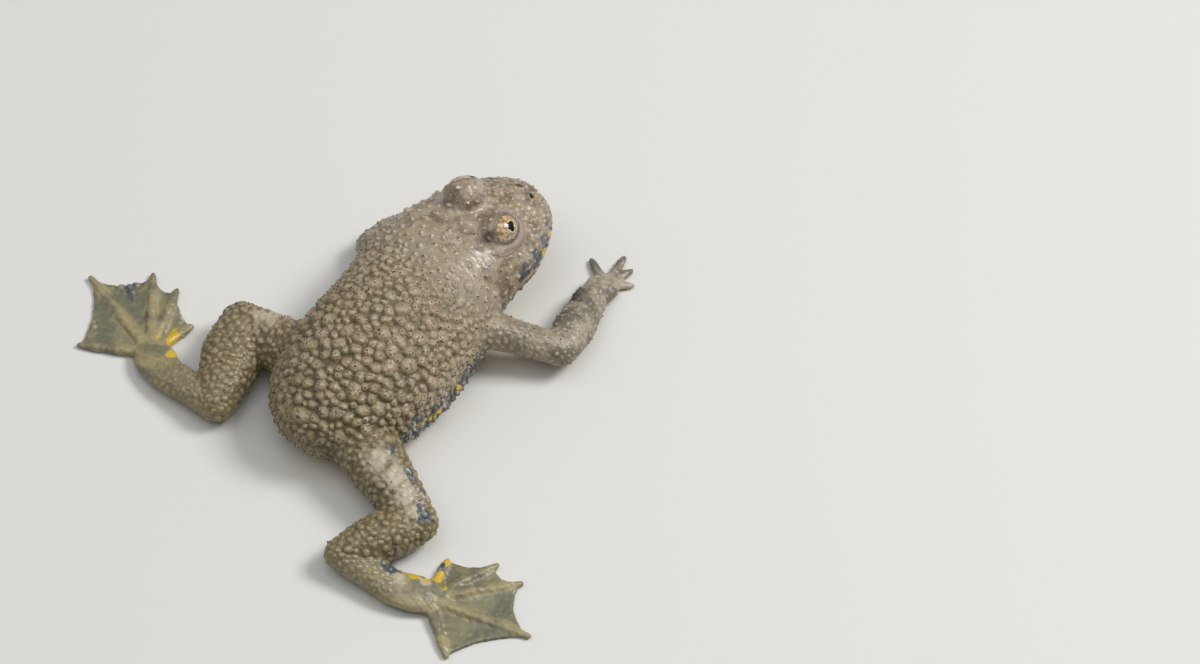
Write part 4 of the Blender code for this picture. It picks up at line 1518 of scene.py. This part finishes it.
class NodeMaker:
    """Short ways to add and join nodes in a tree."""

    def __init__(self, tree: bpy.types.NodeTree) -> None:
        """Keep the tree that nodes are added to."""
        self.tree = tree

    def feed(self, value: object, socket: Socket) -> None:
        """Join an output to a socket, or set the socket to a number or colour."""
        if isinstance(value, Socket):
            self.tree.links.new(value, socket)
        else:
            socket.default_value = (*value, 1.0) if isinstance(value, tuple) else value

    def feed_all(self, node: bpy.types.Node, **values: object) -> None:
        """Feed inputs of a node by name, with _ for a space."""
        for name, value in values.items():
            self.feed(value, node.inputs[name.replace("_", " ")])

    def add(self, kind: str, settings: dict[str, object] | None = None, **values: object) -> bpy.types.Node:
        """Add a node.

        Args:
            kind: Kind of node.
            settings: Its properties.
            values: What its inputs get, by name.

        Returns:
            The node.
        """
        node = self.tree.nodes.new(kind)
        for name, value in (settings or {}).items():
            setattr(node, name, value)
        self.feed_all(node, **values)
        return node

    def math(self, operation: str, *values: object, clamp: bool = False) -> Socket:
        """Calculate with one, two or three values.

        Args:
            operation: The calculation.
            values: Outputs or numbers.
            clamp: Whether the result stays between 0 and 1.

        Returns:
            The result.
        """
        node = self.add("ShaderNodeMath", {"operation": operation, "use_clamp": clamp})
        for value, socket in zip(values, node.inputs):
            self.feed(value, socket)
        return node.outputs[0]

    def times(self, first: object, *others: object) -> Socket:
        """Multiply values, from left to right."""
        for other in others:
            first = self.math("MULTIPLY", first, other)
        return first

    def line(self, value: Socket, gain: float, start: object, clamp: bool = False) -> Socket:
        """Return the value times a gain, and a start added."""
        return self.math("MULTIPLY_ADD", value, gain, start, clamp=clamp)

    def noise(self, vector: Socket, scale: object, detail: object, roughness: float = 0.5) -> Socket:
        """Noise from 0 to 1."""
        values = {"Vector": vector, "Scale": scale, "Detail": detail, "Roughness": roughness}
        return self.add("ShaderNodeTexNoise", **values).outputs["Fac"]

    def ramp(self, value: Socket, start: object, end: object, **values: object) -> Socket:
        """Rise smoothly from 0 at one value to 1 at another, or between the given numbers."""
        values |= {"Value": value, "From Min": start, "From Max": end}
        node = self.add("ShaderNodeMapRange", {"interpolation_type": "SMOOTHSTEP"}, **values)
        return node.outputs["Result"]


class GroupMaker(NodeMaker):
    """Maker of a node group that reads a Vector and numbers and puts out numbers."""

    def __init__(self, name: str, outputs: tuple[str, ...], **inputs: float) -> None:
        """Start the group with its sockets.

        Args:
            name: Name of the group.
            outputs: Names of its outputs.
            inputs: First value of each number that it reads.
        """
        super().__init__(bpy.data.node_groups.new(name, "ShaderNodeTree"))
        sockets = self.tree.interface
        sockets.new_socket("Vector", in_out="INPUT", socket_type="NodeSocketVector")
        for label, value in inputs.items():
            sockets.new_socket(label, in_out="INPUT", socket_type="NodeSocketFloat").default_value = value
        for label in outputs:
            sockets.new_socket(label, in_out="OUTPUT", socket_type="NodeSocketFloat")
        self.given = self.add("NodeGroupInput").outputs
        self.result = self.add("NodeGroupOutput")


def blotch_group() -> bpy.types.NodeTree:
    """Make irregular blotches with soft or hard edges.

    Returns:
        The node group.
    """
    maker = GroupMaker("Blotches", ("Mask",), Scale=400.0, Level=0.5, Softness=0.08, Detail=4.0)
    vector, scale, level, softness, detail = (maker.given[index] for index in range(5))
    ends = (maker.math(way, level, softness) for way in ("SUBTRACT", "ADD"))
    maker.feed_all(maker.result, Mask=maker.ramp(maker.noise(vector, scale, detail, 0.55), *ends))
    return maker.tree


def grain_group() -> bpy.types.NodeTree:
    """Make the fine grain of living skin: pores and tiny pimples.

    Returns:
        The node group.
    """
    maker = GroupMaker("Skin grain", ("Height", "Mask"), Scale=5200.0)
    vector, scale = maker.given[0], maker.given[1]
    cells = maker.add("ShaderNodeTexVoronoi", {"feature": "SMOOTH_F1"}, Vector=vector, Scale=scale)
    noise = maker.noise(vector, maker.times(scale, 0.35), 3.0)
    pimples = maker.math("SUBTRACT", 1.0, cells.outputs["Distance"])
    height = maker.line(noise, 0.8, maker.times(pimples, 0.5))
    maker.feed_all(maker.result, Height=height, Mask=noise)
    return maker.tree


def wet_group() -> bpy.types.NodeTree:
    """Make an uneven film of moisture, as a weight for the coat.

    Returns:
        The node group.
    """
    maker = GroupMaker("Wet film", ("Weight",), Least=0.3, Most=0.9)
    vector, least, greatest = (maker.given[index] for index in range(3))
    film = maker.ramp(maker.noise(vector, 260.0, 2.0), 0.35, 0.65, To_Min=least, To_Max=greatest)
    maker.feed_all(maker.result, Weight=film)
    return maker.tree


@dataclass(frozen=True)
class Groups:
    """Node groups that the finishes share."""

    blotch: bpy.types.NodeTree
    grain: bpy.types.NodeTree
    wet: bpy.types.NodeTree


class Painter(NodeMaker):
    """Maker of one material's nodes, which knows the shared groups."""

    def __init__(self, name: str, groups: Groups) -> None:
        """Start a material with an empty Principled shader.

        Args:
            name: Name of the material.
            groups: Node groups that the finishes share.
        """
        self.material = bpy.data.materials.new(name)
        self.material.use_nodes = True
        super().__init__(self.material.node_tree)
        self.groups = groups
        self.shader = next(node for node in self.tree.nodes if node.type == "BSDF_PRINCIPLED")
        self.masks: dict[str, Socket] = {}

    @cached_property
    def place(self) -> Socket:
        """Place on the object."""
        return self.add("ShaderNodeTexCoord").outputs["Object"]

    def read(self, name: str, output: str = "Fac") -> Socket:
        """Read a mask of the mesh."""
        if name not in self.masks:
            self.masks[name] = self.add("ShaderNodeAttribute", {"attribute_name": name}).outputs[output]
        return self.masks[name]

    def mix(self, share: object, first: object, second: object) -> Socket:
        """Mix two colours.

        Args:
            share: Share of the second one.
            first: The first colour.
            second: The second colour.

        Returns:
            The mixed colour.
        """
        node = self.add("ShaderNodeMix", {"data_type": "RGBA"})
        for index, value in ((0, share), (6, first), (7, second)):
            self.feed(value, node.inputs[index])
        return node.outputs[2]

    def layered(self, colour: object, *layers: tuple[object, object]) -> Socket:
        """Paint layers over a colour.

        Args:
            colour: The ground colour.
            layers: Share and colour of each layer, from the lowest up.

        Returns:
            The colour with its layers.
        """
        for share, shade in layers:
            colour = self.mix(share, colour, shade)
        return colour

    def use(self, kind: str, **values: object) -> bpy.types.bpy_prop_collection:
        """Place one of the shared groups, and return its outputs."""
        tree = {"node_tree": getattr(self.groups, kind)}
        return self.add("ShaderNodeGroup", tree, Vector=self.place, **values).outputs

    def blotch(self, scale: float, level: float, softness: float) -> Socket:
        """Blotches where noise of a scale passes a level, with an edge of some softness."""
        return self.use("blotch", Scale=scale, Level=level, Softness=softness)[0]

    def broken(self, name: str, scale: float) -> Socket:
        """Read a mask and break its edge up with noise of a scale."""
        pushed = self.line(self.blotch(scale, 0.5, 0.35), 0.9, self.times(self.read(name), 1.7))
        return self.math("SUBTRACT", pushed, 0.95, clamp=True)

    def shade(self, **values: object) -> bpy.types.Material:
        """Feed the shader by name, and return the finished material."""
        self.feed_all(self.shader, **values)
        return self.material


@dataclass(frozen=True)
class SkinFinish:
    """Wet warty skin."""

    brown: Colour = (0.262, 0.184, 0.096)
    olive: Colour = (0.205, 0.170, 0.082)
    tan: Colour = (0.350, 0.262, 0.155)
    drab: Colour = (0.160, 0.130, 0.042)
    crown: Colour = (0.332, 0.262, 0.174)
    umber: Colour = (0.130, 0.088, 0.055)
    # Painted reflection of the sky in the wet film on the head.
    lilac_reflection: Colour = (0.470, 0.400, 0.340)
    fawn: Colour = (0.375, 0.325, 0.240)
    moss: Colour = (0.128, 0.116, 0.080)
    # Dark flecks at random, and painted shade in the creases between warts.
    fleck_and_crease_shade: Colour = (0.075, 0.050, 0.028)
    # Pale flecks, and pale tips of the granules that are partly a painted highlight.
    light: Colour = (0.700, 0.620, 0.545)
    slate: Colour = (0.055, 0.066, 0.072)
    # Pale markings and flank flecks; also the painted light on the shoulders and along the flank.
    cream: Colour = (0.450, 0.395, 0.290)
    yellow: Colour = (0.520, 0.350, 0.022)
    mauve: Colour = (0.350, 0.255, 0.215)
    # Pads and smudge, and painted shade in the mouth line, the nostrils and the lid rims.
    dark: Colour = (0.020, 0.015, 0.012)
    foot: Colour = (0.335, 0.280, 0.145)
    web: Colour = (0.180, 0.180, 0.102)
    murk: Colour = (0.082, 0.090, 0.066)

    def colour(self, paint: Painter) -> Socket:
        """Lay the skin's colours and markings over each other.

        Args:
            paint: Painter of the skin's material.

        Returns:
            The colour.
        """
        read, times, line, blotch = paint.read, paint.times, paint.line, paint.blotch
        mottled = paint.math("MAXIMUM", read("arm"), times(read("foot"), 0.7))
        tops = times(read("crown"), line(read("tint"), 0.45, 0.25), line(read("foot"), -0.75, 1.0))
        flecks = times(blotch(1050.0, 0.57, 0.08), line(read("head"), -0.80, 1.0))
        flank = paint.layered(self.slate, (flecks, self.cream), (blotch(520.0, 0.69, 0.03), self.yellow))
        belly = paint.mix(blotch(260.0, 0.53, 0.02), self.yellow, self.slate)
        return paint.layered(
            self.brown,
            (blotch(230.0, 0.5, 0.22), self.olive),
            (times(read("head"), 0.65), self.crown),
            (times(read("rear"), 0.75), self.drab),
            (times(read("foot"), 0.85), self.foot),
            (times(read("arm"), 0.90), self.fawn),
            (times(read("web"), 0.80), self.web),
            (times(mottled, blotch(330.0, 0.50, 0.09), 0.92), paint.mix(read("foot"), self.moss, self.murk)),
            (times(read("head"), blotch(760.0, 0.52, 0.06), 0.68), self.umber),
            # Lilac veils on the head: painted reflection of the wet film.
            (times(read("head"), blotch(420.0, 0.54, 0.08), 0.40), self.lilac_reflection),
            (times(tops, line(read("rear"), -0.30, 1.0)), self.tan),
            (times(blotch(1500.0, 0.52, 0.16), 0.22), self.fleck_and_crease_shade),
            # Painted shade in the creases between warts.
            (times(read("crease"), 0.68), self.fleck_and_crease_shade),
            (times(blotch(2600.0, 0.62, 0.05), line(read("foot"), -0.20, 0.20)), self.light),
            (times(read("fold"), 0.75), self.mauve),
            # Cream over pale markings, over the painted light of the shoulders, and over a flank band that
            # is partly a painted highlight.
            (times(read("pale"), line(read("crown"), -0.30, 0.90)), self.cream),
            (paint.broken("flank", 700.0), flank),
            (paint.broken("belly", 500.0), belly),
            (paint.broken("yellow", 1100.0), self.yellow),
            # Pale tips of the granules, partly a painted highlight.
            (times(read("pale_tip_and_highlight"), 0.85), self.light),
            # Dark pads and smudge, and painted shade in the mouth line, nostrils and lid rims.
            (times(read("dark"), 0.95), self.dark),
        )

    def material(self, groups: Groups) -> bpy.types.Material:
        """Make the skin's material.

        Args:
            groups: Shared node groups.

        Returns:
            The material.
        """
        paint = Painter("toad_skin", groups)
        grain = paint.use("grain", Scale=4000.0)
        dry = paint.line(paint.read("crease"), -0.9, 1.0, clamp=True)
        film = paint.times(paint.use("wet", Least=0.15, Most=0.70)[0], paint.times(dry, paint.read("wet")))
        bump = paint.add("ShaderNodeBump", Strength=0.55, Distance=0.00009, Height=grain["Height"])
        return paint.shade(
            Base_Color=self.colour(paint),
            Roughness=paint.line(grain["Mask"], 0.3, 0.34),
            Coat_Weight=film,
            Coat_Roughness=0.20,
            Normal=bump.outputs["Normal"],
        )


@dataclass(frozen=True)
class HornFinish:
    """Black horny points."""

    black: Colour = (0.022, 0.016, 0.011)
    brown: Colour = (0.060, 0.040, 0.025)

    def material(self, groups: Groups) -> bpy.types.Material:
        """Make the material of the horny points.

        Args:
            groups: Shared node groups.

        Returns:
            The material.
        """
        paint = Painter("horn_tips", groups)
        colour = paint.mix(paint.blotch(700.0, 0.55, 0.1), self.black, self.brown)
        wet = paint.use("wet", Least=0.3, Most=0.8)[0]
        return paint.shade(Base_Color=colour, Coat_Weight=wet, Roughness=0.35)


@dataclass(frozen=True)
class EyeFinish:
    """Wet eyeball with a mottled gold iris and a black rounded triangle of a pupil."""

    pupil: Colour = (0.003, 0.003, 0.003)
    rim: Colour = (0.820, 0.640, 0.300)
    gold: Colour = (0.620, 0.430, 0.220)
    tan: Colour = (0.560, 0.430, 0.310)
    brown: Colour = (0.110, 0.068, 0.040)
    edge: Colour = (0.030, 0.022, 0.020)
    pupil_size: float = 0.265
    pupil_corners: float = 0.20

    def material(self, groups: Groups) -> bpy.types.Material:
        """Make the eyeball's material.

        Args:
            groups: Shared node groups.

        Returns:
            The material.
        """
        paint = Painter("toad_eye", groups)
        times, ramp = paint.times, paint.ramp
        gaze = paint.add("ShaderNodeSeparateXYZ", Vector=paint.read("gaze", "Vector"))
        forward, down, outward = gaze.outputs
        away = paint.math("SQRT", paint.math("ADD", times(forward, forward), times(down, down)))
        corners = paint.math("COSINE", times(paint.math("ARCTAN2", forward, down), 3.0))
        edge = paint.line(corners, self.pupil_size * self.pupil_corners, self.pupil_size)
        beyond = paint.math("SUBTRACT", away, edge)
        mottle = paint.blotch(2300.0, 0.52, 0.12)
        colour = paint.layered(
            self.gold,
            (paint.line(down, 1.6, 0.1, clamp=True), self.tan),
            (times(mottle, 0.75), self.brown),
            (times(paint.blotch(5200.0, 0.56, 0.08), 0.5), self.edge),
            (times(ramp(beyond, 0.060, 0.025), paint.line(mottle, -0.7, 1.0)), self.rim),
            (ramp(beyond, 0.012, -0.004), self.pupil),
            (ramp(away, 0.84, 0.96), self.edge),
            (ramp(outward, 0.1, 0.0), self.edge),
        )
        grain = paint.use("grain", Scale=6000.0)
        return paint.shade(
            Base_Color=colour,
            Roughness=paint.line(grain["Mask"], 0.1, 0.28),
            Specular_IOR_Level=0.1,
            Coat_Weight=1.0,
            Coat_Roughness=0.03,
        )


@dataclass(frozen=True)
class FloorFinish:
    """Plain pale floor."""

    pale: Colour = (0.62, 0.61, 0.58)

    def material(self, groups: Groups) -> bpy.types.Material:
        """Make the floor's material."""
        return Painter("floor", groups).shade(Base_Color=self.pale, Roughness=0.7)


@dataclass(frozen=True)
class Lamp:
    """Square soft light that faces the toad.

    Attributes:
        name: Its name.
        azimuth: Its direction round the toad, in degrees.
        elevation: Its height, in degrees.
        distance: Its distance, in metres.
        size: Its side, in metres.
        power: Its power, in watts.
    """

    name: str
    azimuth: float
    elevation: float
    distance: float
    size: float
    power: float


@dataclass
class Studio:
    """Floor, lights and camera.

    Attributes:
        groups: Shared node groups.
        azimuth: Direction of the camera round the toad, in degrees.
        elevation: Its height, in degrees.
        aim: Place that it looks at, in millimetres.
        distance: Its distance, in millimetres.
        lens: Its lens, in millimetres.
        sensor: Width of its sensor, in millimetres.
        floor_half: Half side of the floor, in metres.
        floor_drop: How far the floor lies below the toad, in metres.
        sky: Colour and strength of the light from all round.
        lamps: The lights.
    """

    groups: Groups
    azimuth: float = 219.0
    elevation: float = 54.0
    aim: Place = (-17.86, -16.63, 0.0)
    distance: float = 1000.0
    lens: float = 246.0
    sensor: float = 36.0
    floor_half: float = 2.0
    floor_drop: float = 0.00003
    sky: tuple[Colour, float] = ((0.92, 0.96, 1.0), 0.22)
    lamps: tuple[Lamp, ...] = (
        Lamp("key", 318.0, 50.0, 0.8, 0.28, 4.9),
        Lamp("sky", 200.0, 82.0, 0.9, 0.9, 3.6),
        Lamp("fill", 120.0, 40.0, 0.9, 0.6, 0.9),
    )

    @staticmethod
    def stand(
        name: str, data: bpy.types.ID, turn: Pair, distance: float, aim: Vector, scale: float = 1.0
    ) -> bpy.types.Object:
        """Stand a light or camera round a place, facing it.

        Args:
            name: Name of the object.
            data: Its light or camera.
            turn: Its azimuth and elevation, in degrees.
            distance: Its distance.
            aim: The place that it faces.
            scale: Factor from their unit to metres.

        Returns:
            The object.
        """
        azimuth, elevation = (math.radians(angle) for angle in turn)
        flat = math.cos(elevation)
        back = Vector((math.sin(azimuth) * flat, -math.cos(azimuth) * flat, math.sin(elevation)))
        made = place_object(name, data)
        made.location = (aim + back * distance) * scale
        made.rotation_euler = back.to_track_quat("Z", "Y").to_euler()
        return made

    def build_floor(self) -> bpy.types.Object:
        """Build the floor.

        Returns:
            The floor.
        """
        corners = np.array([(-1, -1, 0), (1, -1, 0), (1, 1, 0), (-1, 1, 0)]) * self.floor_half
        mesh = new_mesh("floor", Patch(corners, [(0, 1, 2, 3)]), 1.0, smooth=False)
        mesh.materials.append(FloorFinish().material(self.groups))
        floor = place_object("floor", mesh)
        floor.location.z = -self.floor_drop
        return floor

    def build(self) -> None:
        """Build the floor, the lights and the camera, at the photo's viewing angle and framing."""
        self.build_floor()
        data = bpy.data.cameras.new("camera")
        data.sensor_width, data.lens, data.clip_start = self.sensor, self.lens, 0.01
        turn, aim = (self.azimuth, self.elevation), Vector(self.aim)
        bpy.context.scene.camera = self.stand("camera", data, turn, self.distance, aim, TO_METRES)
        for lamp in self.lamps:
            light = bpy.data.lights.new(lamp.name, "AREA")
            light.size, light.energy = lamp.size, lamp.power
            self.stand(lamp.name, light, (lamp.azimuth, lamp.elevation), lamp.distance, Vector())
        world = bpy.data.worlds.new("studio")
        world.use_nodes = True
        background = next(node for node in world.node_tree.nodes if node.type == "BACKGROUND")
        NodeMaker(world.node_tree).feed_all(background, Color=self.sky[0], Strength=self.sky[1])
        bpy.context.scene.world = world
        bpy.context.scene.view_settings.view_transform = "Standard"


ARMS = (
    Limb(
        ((-8.0, -4.4, 6.0), (-17.4, -9.6, 3.4), (-14.6, -19.6, 1.6), (-14.3, -22.2, 1.0)),
        ((-10.0, -24.4), (-13.2, -27.4), (-15.3, -26.4), (-17.0, -24.6)),
        ARM_SEGMENTS, FINGER, ARM_REACHES,
    ),
    Limb(
        ((6.5, -5.0, 5.4), (10.7, -7.6, 2.6), (8.6, -15.6, 1.6), (8.2, -18.0, 1.0)),
        ((5.0, -21.0), (7.3, -22.8), (9.6, -22.6), (11.3, -20.6)),
        ARM_SEGMENTS, FINGER, ARM_REACHES,
    ),
)
LEGS = (
    Limb(
        ((-6.4, 16.0, 4.8), (-20.1, 20.9, 3.3), (-15.6, 29.6, 2.4), (-23.3, 28.9, 1.5), (-26.9, 27.2, 1.1)),
        ((-25.0, 20.9), (-30.3, 17.7), (-34.4, 18.0), (-40.0, 23.5), (-34.1, 32.2)),
        LEG_SEGMENTS, TOE, LEG_REACHES, webbed=True,
    ),
    Limb(
        ((3.6, 11.2, 4.8), (15.0, 11.6, 3.3), (10.2, 22.4, 2.4), (18.7, 22.2, 1.5), (22.3, 20.7, 1.1)),
        ((21.1, 13.9), (26.3, 10.9), (30.2, 11.0), (36.0, 16.3), (30.4, 25.2)),
        LEG_SEGMENTS | {Zone.SHANK: FOLDED_SHANK}, TOE, LEG_REACHES, webbed=True,
    ),
)


def dress(piece: bpy.types.Object, material: bpy.types.Material) -> None:
    """Give a piece its finish and its body.

    Args:
        piece: The piece.
        material: Its material.
    """
    piece.data.materials.clear()
    piece.data.materials.append(material)
    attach(piece, ROOT_BODY)


def main() -> None:
    """Build the skin, the horny points, the eyes and the studio."""
    logging.basicConfig(level=logging.INFO, format="%(message)s")
    groups = Groups(blotch_group(), grain_group(), wet_group())
    trunk = TrunkShape()
    seats = {name: EyeSeat(side, trunk, EYE_AXES[name], EYE_LIFTS[name]) for name, side in SIDES.items()}
    builder = Skin(trunk, [*ARMS, *LEGS], list(seats.values()), Muzzle(trunk))
    skin = builder.build()
    dress(skin, SkinFinish().material(groups))
    flesh = [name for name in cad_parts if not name.startswith("eye_")]
    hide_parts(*flesh)
    LOG.info("skin replaces %d solids", len(flesh))
    tips = HornTips(builder).build()
    dress(tips, HornFinish().material(groups))
    gloss = EyeFinish().material(groups)
    for name, seat in seats.items():
        eye = ToadEye(seat, f"eyeball_{name}").build()
        dress(eye, gloss)
        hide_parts(f"eye_{name}")
        LOG.info("eye %s built", name)
    Studio(groups).build()
    LOG.info("studio built")


if __name__ == "__main__":
    main()
